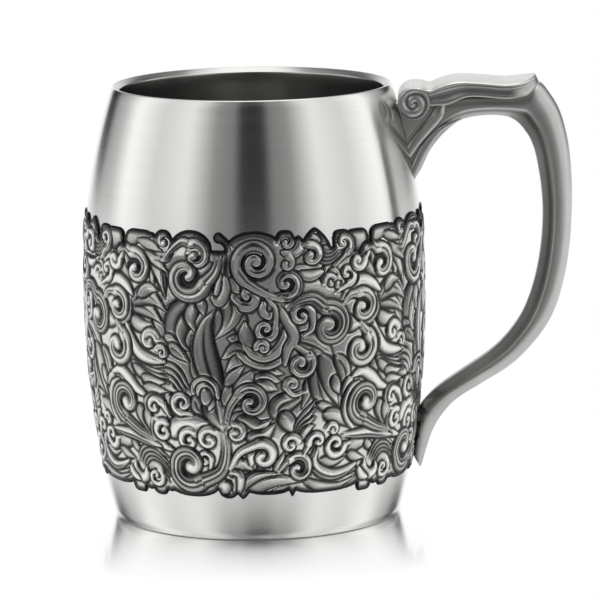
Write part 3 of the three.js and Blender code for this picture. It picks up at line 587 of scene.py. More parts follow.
def wall_points(start, end, depth, count):
    """Points a depth inside the barrel's curve, as radius and height, from one height to another."""
    return [(float(barrel_radius(z)) - depth, z) for z in np.linspace(start, end, count)]


def arc(centre, radius, start, end, count):
    """Points on an arc between two angles in degrees."""
    angles = np.radians(np.linspace(start, end, count))
    return [(centre[0] + radius * math.cos(a), centre[1] + radius * math.sin(a)) for a in angles]


def smooth_path(points, count):
    """Points along a curve that runs through the given ones."""
    points = np.array(points, float)
    if len(points) == 2:
        share = np.linspace(0, 1, count)[:, None]
        return points[0] + (points[1] - points[0]) * share
    around = np.vstack([2 * points[0] - points[1], points, 2 * points[-1] - points[-2]])
    along = np.linspace(0, len(points) - 1, count)
    start = np.minimum(along.astype(int), len(points) - 2)
    t = (along - start)[:, None]
    a, b, c, d = (around[start + k] for k in range(4))
    bend = (2 * a - 5 * b + 4 * c - d) * t**2 + (3 * b - a - 3 * c + d) * t**3
    return b + ((c - a) * t + bend) / 2


def smooth_step(share):
    """A share from 0 to 1, eased at both ends."""
    return share * share * (3 - 2 * share)


def hump(value, place, width):
    """One at a place, fading out to both sides of it."""
    return np.exp(-(((value - place) / width) ** 2))


# Ornament as a height field

def blurred(field, width):
    """A field blurred by a number of cells; the columns run round."""
    reach = int(3 * width) + 1
    weights = np.exp(-0.5 * (np.arange(-reach, reach + 1) / width) ** 2)
    weights /= weights.sum()
    wide = np.pad(field, ((reach, reach), (0, 0)), mode="wrap")
    field = sum(w * wide[k : k + field.shape[0]] for k, w in enumerate(weights))
    tall = np.pad(field, ((0, 0), (reach, reach)), mode="edge")
    return sum(w * tall[:, k : k + field.shape[1]] for k, w in enumerate(weights))


def engrave(height, shade, across, along, places, cut):
    """Height and shade with lines cut at places across a stroke; the lines stop before its end."""
    for place in places:
        line = hump(across, place, LINE_WIDTH)
        line = line * np.clip((cut["end"] - along) / cut["fade"], 0, 1)
        height = height - cut["depth"] * line
        shade = shade + cut["shade"] * line
    return np.clip(height, 0, 1), np.clip(shade, 0, 1)


def ribbon_section(across, lines, along):
    """Height and shade across a rounded ribbon, from -1 to 1; its flanks get patina and painted shade."""
    height = (1 - np.abs(across) ** RIBBON_SQUARE) ** RIBBON_ROUND
    shade = RIBBON_SHADE * np.abs(across) ** RIBBON_SHADE_RISE
    return engrave(height, shade, across, along, RIBBON_LINES[lines], RIBBON_CUT)


def leaf_section(across, veins, along):
    """Height and shade across a leaf, from -1 to 1: one side of its fold lies lower and gets painted shade.
    """
    fold = 0.5 + 0.5 * np.tanh(LEAF_FOLD * across)
    rim = (1 - np.abs(across) ** LEAF_SQUARE) ** LEAF_ROUND
    height = rim * (LEAF_LOW_SIDE + (1 - LEAF_LOW_SIDE) * fold)
    shade = LEAF_FOLD_SHADE * (1 - fold)
    shade = shade + LEAF_FLANK_SHADE * np.abs(across) ** LEAF_SHADE_RISE
    shade = shade + LEAF_STALK_SHADE * (1 - along) ** LEAF_SHADE_RISE
    return engrave(height, shade, across, along, LEAF_LINES[veins], LEAF_CUT)


def columns_between(low, high):
    """Numbers of the grid's columns between two places round the belly; they run on past the seams."""
    return np.arange(int(low // CELL), int(high // CELL) + 2)


def measure_stroke(path, half, x, z):
    """For each place: how far outside the stroke it is, its share across from -1 to 1, and along."""
    outside = np.full((x.shape[0], z.shape[1]), np.inf)
    across = np.zeros_like(outside)
    along = np.zeros_like(outside)
    for k in range(len(path) - 1):
        (ax, az), (bx, bz) = path[k], path[k + 1]
        squared = max((bx - ax) ** 2 + (bz - az) ** 2, TINY**2)
        share = np.clip(((x - ax) * (bx - ax) + (z - az) * (bz - az)) / squared, 0, 1)
        dx = x - ax - share * (bx - ax)
        dz = z - az - share * (bz - az)
        away = np.hypot(dx, dz)
        width = half[k] + share * (half[k + 1] - half[k])
        closer = away - width < outside
        outside = np.where(closer, away - width, outside)
        side = np.where((bx - ax) * dz - (bz - az) * dx < 0, -1, 1)
        across = np.where(closer, side * away / np.maximum(width, TINY), across)
        along = np.where(closer, (k + share) / (len(path) - 1), along)
    return outside, np.clip(across, -1, 1), np.clip(along, 0, 1)


def stamp(field, path, half, section, detail, level):
    """Lays a stroke on the field, with a dark groove round it; its start grows out of what lies under it."""
    heights, shades = field
    pad = half.max() + GROOVE_WIDTH + 2 * CELL
    columns = columns_between(path[:, 0].min() - pad, path[:, 0].max() + pad)
    rows = np.flatnonzero((HEIGHTS > path[:, 1].min() - pad) & (HEIGHTS < path[:, 1].max() + pad))
    window = np.ix_(columns % PANEL_COLUMNS, rows)
    below, shaded = heights[window], shades[window]
    x, z = (columns * CELL)[:, None], HEIGHTS[rows][None, :]
    outside, across, along = measure_stroke(path, half, x, z)
    raised, tone = section(across, detail, along)
    gap = np.clip(outside / GROOVE_WIDTH, 0, 1)
    groove = np.minimum(below, GROOVE * (1 - gap) + below * gap)
    soot = np.maximum(shaded, (1 - gap) ** GROOVE_SPREAD)
    on_stroke = outside < 0
    over = np.where(on_stroke, GROOVE + (level - GROOVE) * raised, groove)
    dark = np.where(on_stroke, tone, soot)
    merged = np.where(on_stroke, np.maximum(over, below), below)
    merged_dark = np.where(on_stroke, np.minimum(dark, shaded), shaded)
    free = np.clip(along / ROOT, 0, 1)
    heights[window] = over * free + merged * (1 - free)
    shades[window] = dark * free + merged_dark * (1 - free)


def sink(field, degrees, height, radius):
    """Sinks a round dark hollow into the field."""
    heights, shades = field
    centre = degrees * DEGREE
    columns = columns_between(centre - radius, centre + radius)
    rows = np.flatnonzero(np.abs(HEIGHTS - height) < radius)
    window = np.ix_(columns % PANEL_COLUMNS, rows)
    inside = np.hypot((columns * CELL - centre)[:, None], HEIGHTS[rows][None, :] - height) < radius
    heights[window] = np.where(inside, GROOVE, heights[window])
    shades[window] = np.where(inside, HOLLOW_SHADE, shades[window])


def on_panel(points):
    """Points in millimetres, from degrees and heights."""
    return [(degrees * DEGREE, z) for degrees, z in points]


def add_leaf(field, width, veins, points):
    """A pointed leaf from its stalk to its tip."""
    path = smooth_path(on_panel(points), LEAF_POINTS)
    along = np.linspace(0, 1, LEAF_POINTS)
    half = width * np.sin(np.pi * along**LEAF_SWELL) ** LEAF_POINTED + LEAF_TIP
    stamp(field, path, LEAF_FULL * half, leaf_section, veins, LEAF_LEVEL)


def add_fan(field, count, width, first, last):
    """Like leaves side by side, which turn from the first one's points to the last one's."""
    for share in np.linspace(0, 1, count):
        points = [(a + (c - a) * share, b + (d - b) * share) for (a, b), (c, d) in zip(first, last)]
        add_leaf(field, width, 0, points)


def add_stem(field, width, lines, points):
    """A ribbon that is thin at both ends."""
    path = smooth_path(on_panel(points), STEM_POINTS)
    along = np.linspace(0, 1, STEM_POINTS)
    half = width * np.sin(np.pi * along) ** STEM_GROWTH + STEM_TIP
    stamp(field, path, STEM_FULL * half, ribbon_section, lines, STEM_LEVEL)


def add_volute(field, degrees, height, radius, turns, start, width, ball, lines, stem):
    """A ribbon that winds in and ends in a round eye, over a dark hollow."""
    along = np.linspace(0, 1, int(abs(turns) * TURN_POINTS) + MORE_POINTS)
    many = abs(turns) > MANY_TURNS
    wound = along if many else along - VOLUTE_EASE * along**3
    angle = math.radians(start) + 2 * math.pi * turns * wound
    reach = radius * (1 - along ** (1 if many else VOLUTE_CLOSING))
    path = np.stack([degrees * DEGREE + reach * np.cos(angle), height + reach * np.sin(angle)], 1)
    swell = np.clip((along - EYE_START) / (1 - EYE_START), 0, 1) ** EYE_SWELL
    full = VOLUTE_FULL * width
    half = full * (1 - VOLUTE_TAPER * along) * (1 - swell) + ball * swell
    if stem:
        lead = smooth_path([*on_panel(stem), path[0], path[LEAD_TARGET]], LEAD_POINTS)[:-LEAD_CUT]
        path = np.vstack([lead, path])
        growing = np.linspace(LEAD_START, 1, len(lead)) ** STEM_GROWTH
        half = np.concatenate([full * growing, half])
    sink(field, degrees, height, radius - HOLLOW_INSET * width)
    stamp(field, path, half, ribbon_section, lines, VOLUTE_LEVEL)


def ornament():
    """Heights, as shares of the relief, and shades of one panel's ornament."""
    size = (PANEL_COLUMNS, len(HEIGHTS))
    field = np.zeros(size), np.full(size, GROUND_SHADE)
    for leaf in LEAVES:
        add_leaf(field, *leaf)
    for fan in FANS:
        add_fan(field, *fan)
    for stem in STEMS:
        add_stem(field, *stem)
    for volute in VOLUTES:
        add_volute(field, *volute)
    return blurred(field[0], HEIGHT_BLUR), blurred(field[1], SHADE_BLUR)


def lobe_reach(lobes, degrees):
    """How far an edge's lobes reach, at degrees from the seam."""
    reach = np.zeros_like(degrees)
    for centre, half, height, square in lobes:
        off = (degrees - centre + PANEL_SPAN / 2) % PANEL_SPAN - PANEL_SPAN / 2
        lobe = np.clip(1 - np.abs(off / half) ** square, 0, 1) ** (1 / square)
        reach = np.maximum(reach, height * lobe)
    return reach


def inside_edge(level, lobes, up):
    """How far inside a lobed edge each grid point is; up is 1 for the upper edge and -1 for the lower."""
    degrees = np.linspace(0, PANEL_SPAN, EDGE_STEPS + 1)
    line = level + up * lobe_reach(lobes, degrees)
    columns = np.arange(PANEL_COLUMNS) * CELL
    edge = np.interp(columns, degrees * DEGREE, line)[:, None]
    along = np.linspace(-EDGE_OVERRUN, 1 + EDGE_OVERRUN, EDGE_POINTS) * PANEL_SPAN
    gap = np.full((PANEL_COLUMNS, len(HEIGHTS)), np.inf)
    for x, z in zip(along * DEGREE, np.interp(along % PANEL_SPAN, degrees, line)):
        gap = np.minimum(gap, np.hypot(columns[:, None] - x, HEIGHTS[None, :] - z))
    return np.where(up * (edge - HEIGHTS[None, :]) > 0, gap, -gap)


def relief_field():
    """How far each grid point stands out from the barrel's curve, and its shade."""
    heights, shades = ornament()
    z = HEIGHTS[None, :]
    inside = np.minimum(inside_edge(UPPER_LEVEL, UPPER_LOBES, 1), inside_edge(LOWER_LEVEL, LOWER_LOBES, -1))
    for degrees, height, radius in HOOK:
        x = (np.arange(PANEL_COLUMNS) * CELL - degrees * DEGREE)[:, None]
        inside = np.maximum(inside, radius - np.hypot(x, z - height))
    rise = smooth_step(np.clip(1 - np.minimum(z - RECESS_LOW, RECESS_HIGH - z) / EDGE_RISE, 0, 1))
    proud = GROUND + (EDGE_GROUND - GROUND) * rise + RELIEF * heights
    bow = np.clip(1 - (inside / (BORDER_WIDTH / 2) - 1) ** 2, 0, 1)
    border = EDGE_GROUND + (BORDER_PROUD - EDGE_GROUND) * np.sqrt(bow)
    proud = np.where(inside < BORDER_WIDTH, border, proud)
    fall = np.clip(-inside / EDGE_FALL, 0, 1)
    proud = np.where(inside < 0, EDGE_GROUND - (EDGE_GROUND + RIM_DEPTH) * fall, proud)
    border_dark = BORDER_SHADE * np.clip(BORDER_START - inside / BORDER_FADE, 0, 1)
    return proud, np.clip(np.maximum(shades, border_dark), 0, 1)


# Meshes

def new_object(bm, name, material):
    """An object in the scene, made of a bmesh and one material."""
    mesh = bpy.data.meshes.new(name)
    bm.to_mesh(mesh)
    bm.free()
    mesh.materials.append(material)
    made = bpy.data.objects.new(name, mesh)
    bpy.context.scene.collection.objects.link(made)
    return made


def finish_mesh(bm, name, material, node):
    """Turns a bmesh into a piece that stands for its CAD node."""
    bmesh.ops.recalc_face_normals(bm, faces=bm.faces)
    for face in bm.faces:
        face.smooth = True
    piece = new_object(bm, name, material)
    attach(piece, "root")
    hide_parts(node)
    return piece


def with_patina_and_shade():
    """A new bmesh whose points carry patina and painted shade: 0 is bright, 1 is dark."""
    bm = bmesh.new()
    bm.verts.layers.float.new("patina_and_shade")
    return bm


def grid(bm, columns, rows, place, shade):
    """A grid with a UV map, whose points get their place, patina and painted shade from their columns and
    rows.
    """
    made = bmesh.ops.create_grid(bm, x_segments=columns, y_segments=rows, size=1)["verts"]
    flat = np.array([v.co for v in made])
    column = np.rint((flat[:, 0] + 1) / 2 * columns).astype(int)
    row = np.rint((flat[:, 1] + 1) / 2 * rows).astype(int)
    uv = bm.loops.layers.uv.verify()
    for k, v in enumerate(made):
        for loop in v.link_loops:
            loop[uv].uv = (column[k] / columns, row[k] / rows)
    patina_and_shade = bm.verts.layers.float["patina_and_shade"]
    for v, place_of, dark in zip(made, place(column, row), shade(column, row)):
        v.co = place_of * MM
        v[patina_and_shade] = dark
    return made


def close(bm, seam):
    """Merges the points of a seam and fills the holes that are left."""
    bmesh.ops.remove_doubles(bm, verts=seam, dist=MERGE_GRID)
    ends = [e for e in bm.edges if e.is_boundary]
    bmesh.ops.holes_fill(bm, edges=ends, sides=0)


def tube(bm, columns, rows, place, shade):
    """A grid that closes on itself across its rows, with its two ends filled."""
    close(bm, grid(bm, columns, rows, place, shade))


def turned(bm, profile, count):
    """Turns a profile of radius and height about the Z axis; its UV map runs round and along."""
    points = [bm.verts.new((r * MM, 0, z * MM)) for r, z in profile]
    edges = [bm.edges.new(pair) for pair in zip(points, points[1:])]
    bmesh.ops.spin(
        bm,
        geom=points + edges,
        cent=(0, 0, 0),
        axis=(0, 0, 1),
        angle=2 * math.pi,
        steps=count,
        use_merge=True,
    )
    bmesh.ops.remove_doubles(bm, verts=bm.verts, dist=MERGE_TURNED)
    uv = bm.loops.layers.uv.verify()
    for face in bm.faces:
        middle = face.calc_center_median()
        centre = math.atan2(middle.y, middle.x)
        for loop in face.loops:
            co = loop.vert.co
            turn = math.atan2(co.y, co.x) - centre
            turn = (turn + math.pi) % (2 * math.pi) - math.pi
            along = (co.z + co.xy.length) / MM / HEIGHT
            loop[uv].uv = ((centre + turn) / (2 * math.pi), along)


def barrel(material):
    """The turned body: its foot, the recess for the panels, the sloped lip and the bowl."""
    seat = FOOT_RADIUS - WALL + BASE_SEAT
    inner_lip = HEIGHT - LIP_DROP
    bowl = wall_points(inner_lip - BOWL_TOP, BOWL_FLOOR, WALL, count=40)
    foot_centre = (FOOT_RADIUS - FOOT_ROUND, FOOT_ROUND)
    lip_centre = (LIP_RADIUS - LIP_ROUND, HEIGHT - LIP_ROUND)
    inner_centre = (bowl[0][0] + LIP_INNER_INSET, inner_lip - LIP_INNER_SINK)
    profile = [
        (seat, FOOT_CHAMFER_RISE),
        (seat + FOOT_CHAMFER, 0),
        *arc(foot_centre, FOOT_ROUND, -90, -8, count=6),
        *wall_points(FOOT_ROUND + ROUND_GAP, RECESS_LOW, 0, count=14),
        *wall_points(RECESS_LOW, RECESS_HIGH, RECESS_DEPTH, count=24),
        *wall_points(RECESS_HIGH, HEIGHT - LIP_ROUND - ROUND_GAP, 0, count=30),
        *arc(lip_centre, LIP_ROUND, 10, 120, count=7),
        *arc(inner_centre, LIP_INNER_ROUND, 110, 190, count=5),
        *bowl,
        (bowl[-1][0] - BOWL_CORNER, BOWL_FLOOR - BOWL_CORNER_FALL),
        (seat, FOOT_CHAMFER_RISE),
    ]
    bm = bmesh.new()
    turned(bm, profile, BARREL_STEPS)
    piece = finish_mesh(bm, "barrel", material, "barrel_wall")
    mark_darker(piece.data)
    return piece


def mark_darker(mesh):
    """Marks the bowl and the lip of the barrel, which get a darker colour than its outside."""
    co = np.zeros(len(mesh.vertices) * 3)
    mesh.vertices.foreach_get("co", co)
    co = co.reshape(-1, 3) / MM
    depth = barrel_radius(co[:, 2]) - np.hypot(co[:, 0], co[:, 1])
    on_bowl = depth > BOWL_DARK * WALL
    on_lip = (depth > LIP_DARK) & (co[:, 2] > HEIGHT - LIP_DROP)
    marks = mesh.attributes.new("inside", "FLOAT", "POINT")
    marks.data.foreach_set("value", (on_bowl | on_lip).astype(float))


def base(material):
    """The disc that closes the barrel, dished on top."""
    radius = FOOT_RADIUS - WALL + BASE_SEAT
    profile = [
        (0, 0),
        (radius - BASE_EDGE, 0),
        (radius, BASE_EDGE),
        (radius, BASE_THICKNESS - BASE_EDGE),
        (radius - BASE_EDGE, BASE_THICKNESS),
        (radius * BASE_DISH_START, BASE_THICKNESS - BASE_DISH_START_DEPTH),
        (radius * BASE_DISH_BEND, BASE_THICKNESS - BASE_DISH_DEPTH * BASE_DISH_BEND_DEPTH),
        (0, BASE_THICKNESS - BASE_DISH_DEPTH),
    ]
    bm = bmesh.new()
    turned(bm, profile, BASE_STEPS)
    return finish_mesh(bm, "base", material, "base_plate")


def panel(number, relief, material):
    """A quarter of the band: the relief in front, a plain back let into the recess."""
    proud, dark = relief
    last = PANEL_ROWS + PANEL_BACK_ROWS
    back_heights = np.linspace(BAND_HIGH, BAND_LOW, PANEL_BACK_ROWS + 1)
    seam = FIRST_SEAM + (number - 1) * PANEL_SPAN

    def place(column, row):
        front = row <= PANEL_ROWS
        front_row = np.minimum(row, PANEL_ROWS)
        back_row = np.maximum(row - PANEL_ROWS, 0)
        z = np.where(front, HEIGHTS[front_row], back_heights[back_row])
        out = np.where(front, proud[column % PANEL_COLUMNS, front_row], -RECESS_DEPTH)
        at_rim = (row == 0) | (row == PANEL_ROWS) | (row == last)
        out = np.where(at_rim, -RIM_DEPTH, out)
        angle = np.radians(seam + column * PANEL_SPAN / PANEL_COLUMNS)
        r = barrel_radius(z) + out
        return np.stack([r * np.cos(angle), r * np.sin(angle), z], 1)

    def shade(column, row):
        front_row = np.minimum(row, PANEL_ROWS)
        return np.where(row <= PANEL_ROWS, dark[column % PANEL_COLUMNS, front_row], 1)

    bm = with_patina_and_shade()
    made = grid(bm, PANEL_COLUMNS, last, place, shade)
    close(bm, [v for v in made if v.is_boundary])
    return finish_mesh(bm, f"panel_{number}", material, f"relief_panel_{number}")


def handle_section(web_share):
    """The whole outline of a section, between the grip's and the web's: out along one side and back."""
    half = np.array(GRIP_SECTION) * (1 - web_share) + np.array(WEB_SECTION) * web_share
    half = smooth_path(half, HANDLE_SIDE_POINTS)
    return np.vstack([half, half[-2:0:-1] * (1, -1)])


def handle(material):
    """The cast handle, lofted from the bracket to the tail, with the bracket's mouldings."""
    stations = np.array([[*back, *palm, width] for back, palm, width in HANDLE_STATIONS])
    spaced = smooth_path(stations, HANDLE_ROWS + 1)
    shares = np.linspace(0, 1, HANDLE_ROWS + 1)
    webs = np.clip(1 - shares / WEB_LENGTH, 0, 1)
    outlines = np.array([handle_section(smooth_step(web)) for web in webs])
    around = outlines.shape[1]

    def place(column, row):
        x0, z0, x1, z1, width = spaced[row].T
        depth, side = outlines[row, column % around].T
        return np.stack([x0 + depth * (x1 - x0), side * width / 2, z0 + depth * (z1 - z0)], 1)

    def shade(column, row):
        depth = outlines[row, column % around, 0]
        # Painted shade on the crease, the palm side and the lower arm, besides the web's patina
        lower = np.clip((shares[row] - LOWER_START) / LOWER_LENGTH, 0, 1)
        crease = CREASE_SHADE * hump(depth, CREASE_PLACE, CREASE_WIDTH) + PALM_SHADE * (depth > PALM_START)
        crease = crease * (1 - webs[row]) * (1 - LOWER_CREASE * lower)
        web = WEB_SHADE * (np.abs(depth - 0.5) < 0.5 - WEB_EDGE)
        return SHADE_BESIDE_TOPS + LOWER_SHADE * lower + crease + web * webs[row]

    bm = with_patina_and_shade()
    tube(bm, around, HANDLE_ROWS, place, shade)
    for thick, growth, points in BRACKET_RIBS:
        for side in (-1, 1):
            bracket_rib(bm, thick, growth, points, side)
    for side in (-1, 1):
        bracket_plate(bm, side)
    return finish_mesh(bm, "handle", material, "handle")


def web_width(x):
    """Width of the bracket at a distance from the axis."""
    stations = HANDLE_STATIONS[:WEB_STATIONS]
    middles = [(back[0] + palm[0]) / 2 for back, palm, _ in stations]
    return np.interp(x, middles, [width for _, _, width in stations])


def bracket_rib(bm, thick, growth, points, side):
    """A round moulding on one side of the bracket, thin at its upper end."""
    path = smooth_path(points, RIB_ROWS + 1)
    along = np.gradient(path, axis=0)
    along /= np.linalg.norm(along, axis=1)[:, None]
    taper = np.clip(np.linspace(RIB_START, growth, RIB_ROWS + 1), 0, 1)
    taper = taper * np.linspace(1, RIB_END, RIB_ROWS + 1)

    def place(column, row):
        turn = column * 2 * np.pi / RIB_SIDES
        out = thick * taper[row] * np.cos(turn)
        x = path[row, 0] - along[row, 1] * out
        z = path[row, 1] + along[row, 0] * out
        y = web_width(path[row, 0]) / 2 - RIB_SEAT + thick * RIB_PROUD * taper[row] * np.sin(turn)
        return np.stack([x, side * y, z], 1)

    def shade(column, row):
        return SHADE_BESIDE_TOPS + np.clip(RIB_SHADE - np.sin(column * 2 * np.pi / RIB_SIDES), 0, RIB_SHADE)

    tube(bm, RIB_SIDES, RIB_ROWS, place, shade)


def bracket_plate(bm, side):
    """A raised three-cornered plate between the mouldings of one side."""
    corners = [bm.verts.new((x * MM, side * web_width(x) / 2 * MM, z * MM)) for x, z in BRACKET_PLATE]
    face = bm.faces.new(corners)
    raised = bmesh.ops.extrude_face_region(bm, geom=[face])["geom"]
    top = [v for v in raised if isinstance(v, bmesh.types.BMVert)]
    bmesh.ops.translate(bm, verts=top, vec=(0, side * BRACKET_RELIEF * MM, 0))
    patina_and_shade = bm.verts.layers.float["patina_and_shade"]
    for v in corners + top:
        v[patina_and_shade] = SHADE_BESIDE_TOPS
    rim = {e for v in top for e in v.link_edges}
    bmesh.ops.bevel(
        bm,
        geom=list(rim),
        offset=BRACKET_BEVEL * MM,
        segments=BRACKET_BEVEL_STEPS,
        profile=0.5,
        affect="EDGES",
        material=-1,
    )


def thumb_rest(material):
    """The moulded leaf that lies on the arm, with a volute at the barrel."""
    top = smooth_path(REST_TOP, REST_ROWS + 1)
    to_tip = top[-1, 0] - top[:, 0]
    past = np.clip(1 - to_tip / REST_POINT, 0, 1)
    half = REST_WIDTH / 2 * np.sqrt(np.clip(1 - past**2, REST_LEAST, 1))
    side = np.array(REST_SECTION)
    outline = np.vstack([side, side[-2:0:-1]])
    signs = np.array([1] * len(side) + [-1] * (len(side) - 2))
    around = len(outline)
    deep = REST_DEEP + REST_BELLY * hump(top[:, 0], REST_BELLY_X, REST_BELLY_WIDTH)
    deep = deep * np.minimum((to_tip + REST_THIN) / (2 * REST_THIN), 1)

    def place(column, row):
        inset, drop = outline[column % around].T
        reach = np.maximum(half[row] * (1 - inset / (REST_WIDTH / 2)), 0)
        drop = drop * deep[row]
        x = top[row, 0] + REST_SLANT * drop * past[row] ** 2
        return np.stack([x, signs[column % around] * reach, top[row, 1] - drop], 1)

    def shade(column, row):
        inset, drop = outline[column % around].T
        # Painted shade under the rest's top, deeper in the coves; none on the top, a painted highlight
        shaded_under = SHADE_BESIDE_TOPS + np.clip(REST_UNDER_SHADE * inset, 0, REST_DARKEST)
        return np.where(drop > REST_LIT_DEPTH, shaded_under, 0)

    bm = with_patina_and_shade()
    tube(bm, around, REST_ROWS, place, shade)
    roll(bm)
    return finish_mesh(bm, "thumb_rest", material, "thumb_leaf")


def roll(bm):
    """The volute: a roll whose two ends carry a ridge that winds into the eye."""
    outwards = np.linspace(ROLL_EYE, 1, ROLL_RINGS)
    reach = np.concatenate([outwards, outwards[::-1]])
    faces = np.repeat([-1, 1], ROLL_RINGS)

    def ridge_at(column, row):
        winding = reach[row] * ROLL_TURNS + column / ROLL_STEPS + ROLL_START
        return 0.5 - 0.5 * np.cos(2 * np.pi * winding)

    def place(column, row):
        turn = column * 2 * np.pi / ROLL_STEPS
        away = ROLL_RADIUS * reach[row]
        rim = np.clip((1 - reach[row]) / ROLL_RIM, 0, 1)
        ridge = ROLL_RIDGE * (ridge_at(column, row) ** ROLL_RIDGE_ROUND - 0.5) * rim
        out = REST_WIDTH / 2 - ROLL_INSET + ridge - ROLL_RIM_ROUND * (1 - rim) ** 2
        x = ROLL_X + away * np.cos(turn)
        z = ROLL_Z + away * np.sin(turn)
        return np.stack([x, faces[row] * out, z], 1)

    def shade(column, row):
        # The rim is left without painted shade, as a painted highlight
        dark = SHADE_BESIDE_TOPS + ROLL_SHADE * (1 - ridge_at(column, row)) ** 2
        return dark * (reach[row] < ROLL_LIT_RIM)

    tube(bm, ROLL_STEPS, 2 * ROLL_RINGS - 1, place, shade)


# Materials

def new_material(name):
    """A material with its nodes, links and shader."""
    material = bpy.data.materials.new(name)
    material.use_nodes = True
    nodes = material.node_tree.nodes
    return material, nodes, material.node_tree.links, nodes["Principled BSDF"]


def set_metal(shader, anisotropy):
    """Makes the shader a metal, brushed along its tangent where it has any anisotropy."""
    shader.inputs["Metallic"].default_value = 1
    shader.inputs["Anisotropic"].default_value = anisotropy
    shader.inputs["Anisotropic Rotation"].default_value = BRUSH_TURN


def ramp(nodes, links, factor, stops):
    """A colour ramp over a factor; a stop has a position and a grey level or a colour."""
    node = nodes.new("ShaderNodeValToRGB")
    elements = node.color_ramp.elements
    while len(elements) < len(stops):
        elements.new(0.5)
    for element, (position, value) in zip(elements, stops):
        element.position = position
        element.color = (*value, 1) if isinstance(value, tuple) else (value, value, value, 1)
    links.new(factor, node.inputs["Fac"])
    return node.outputs["Color"]


def attribute(nodes, name):
    """A piece's own attribute, as a factor."""
    node = nodes.new("ShaderNodeAttribute")
    node.attribute_name = name
    return node.outputs["Fac"]


def mix_towards(nodes, links, factor, tone, other):
    """A tone mixed towards one other colour by a factor."""
    mix = nodes.new("ShaderNodeMix")
    mix.data_type = "RGBA"
    mix.inputs["B"].default_value = (*other, 1)
    links.new(factor, mix.inputs["Factor"])
    links.new(tone, mix.inputs["A"])
    return mix.outputs["Result"]


def math_node(nodes, links, operation, first, second):
    """One step of arithmetic; the second value is a number or another node's output."""
    node = nodes.new("ShaderNodeMath")
    node.operation = operation
    links.new(first, node.inputs[0])
    if isinstance(second, (int, float)):
        node.inputs[1].default_value = second
    else:
        links.new(second, node.inputs[1])
    return node.outputs[0]


def streaks(nodes, links, scale):
    """Fine lines that run round the axis, from the piece's own UV map."""
    uv = nodes.new("ShaderNodeUVMap")
    stretch = nodes.new("ShaderNodeMapping")
    stretch.inputs["Scale"].default_value = scale
    noise = nodes.new("ShaderNodeTexNoise")
    noise.inputs["Scale"].default_value = 1
    noise.inputs["Detail"].default_value = 3
    links.new(uv.outputs["UV"], stretch.inputs["Vector"])
    links.new(stretch.outputs["Vector"], noise.inputs["Vector"])
    return noise.outputs["Fac"]


def speckle(nodes, links, scale, detail):
    """Noise that is the same in all directions."""
    place = nodes.new("ShaderNodeTexCoord")
    noise = nodes.new("ShaderNodeTexNoise")
    noise.inputs["Scale"].default_value = scale
    noise.inputs["Detail"].default_value = detail
    links.new(place.outputs["Object"], noise.inputs["Vector"])
    return noise.outputs["Fac"]


def add_bump(nodes, links, shader, height, strength):
    """Lets a height roughen the surface a little."""
    bump = nodes.new("ShaderNodeBump")
    bump.inputs["Strength"].default_value = strength
    bump.inputs["Distance"].default_value = 0.2 * MM
    links.new(height, bump.inputs["Height"])
    links.new(bump.outputs["Normal"], shader.inputs["Normal"])


def satin_pewter():
    """Turned and brushed round the axis; darker in colour inside the bowl and on the lip."""
    material, nodes, links, shader = new_material("satin_pewter")
    set_metal(shader, anisotropy=0.85)
    tangent = nodes.new("ShaderNodeTangent")
    tangent.direction_type = "UV_MAP"
    links.new(tangent.outputs["Tangent"], shader.inputs["Tangent"])
    lines = streaks(nodes, links, scale=(6, 900, 1))
    tone = ramp(nodes, links, lines, [(0.3, (0.75, 0.745, 0.73)), (0.7, (0.80, 0.795, 0.78))])
    tone = mix_towards(nodes, links, attribute(nodes, "inside"), tone, (0.52, 0.515, 0.50))
    links.new(tone, shader.inputs["Base Color"])
    rough = ramp(nodes, links, lines, [(0.3, 0.215), (0.7, 0.245)])
    links.new(rough, shader.inputs["Roughness"])
    add_bump(nodes, links, shader, lines, strength=0.02)
    return material


def relief_pewter():
    """Cast and antiqued: nearly black in the hollows, rubbed bright on the crests, with a fine grain; the
    shade it reads also holds painted shade.
    """
    material, nodes, links, shader = new_material("relief_pewter")
    set_metal(shader, anisotropy=0)
    grain = speckle(nodes, links, scale=1500, detail=2)
    uneven = math_node(nodes, links, "MULTIPLY", math_node(nodes, links, "SUBTRACT", grain, 0.5), 0.16)
    shade = math_node(nodes, links, "ADD", attribute(nodes, "patina_and_shade"), uneven)
    tones = [
        (0.02, (0.80, 0.795, 0.78)),
        (0.2, (0.48, 0.475, 0.46)),
        (0.55, (0.10, 0.098, 0.095)),
        (0.9, (0.015, 0.015, 0.015)),
    ]
    links.new(ramp(nodes, links, shade, tones), shader.inputs["Base Color"])
    rough = ramp(nodes, links, shade, [(0, 0.16), (0.6, 0.34)])
    links.new(rough, shader.inputs["Roughness"])
    add_bump(nodes, links, shader, grain, strength=0.1)
    return material


def cast_pewter():
    """Cast and satin polished, with a faint cloudiness; dark where it has patina or painted shade, brightest
    where neither is painted, as on the thumb rest's top and the roll's rim.
    """
    material, nodes, links, shader = new_material("cast_pewter")
    set_metal(shader, anisotropy=0)
    cloud = speckle(nodes, links, scale=90, detail=4)
    tone = ramp(nodes, links, cloud, [(0.3, (0.66, 0.655, 0.64)), (0.7, (0.74, 0.735, 0.72))])
    tone = mix_towards(nodes, links, attribute(nodes, "patina_and_shade"), tone, (0.06, 0.058, 0.055))
    links.new(tone, shader.inputs["Base Color"])
    grain = speckle(nodes, links, scale=2200, detail=2)
    rough = ramp(nodes, links, grain, [(0.3, 0.33), (0.7, 0.42)])
    links.new(rough, shader.inputs["Roughness"])
    add_bump(nodes, links, shader, grain, strength=0.06)
    return material


# Studio

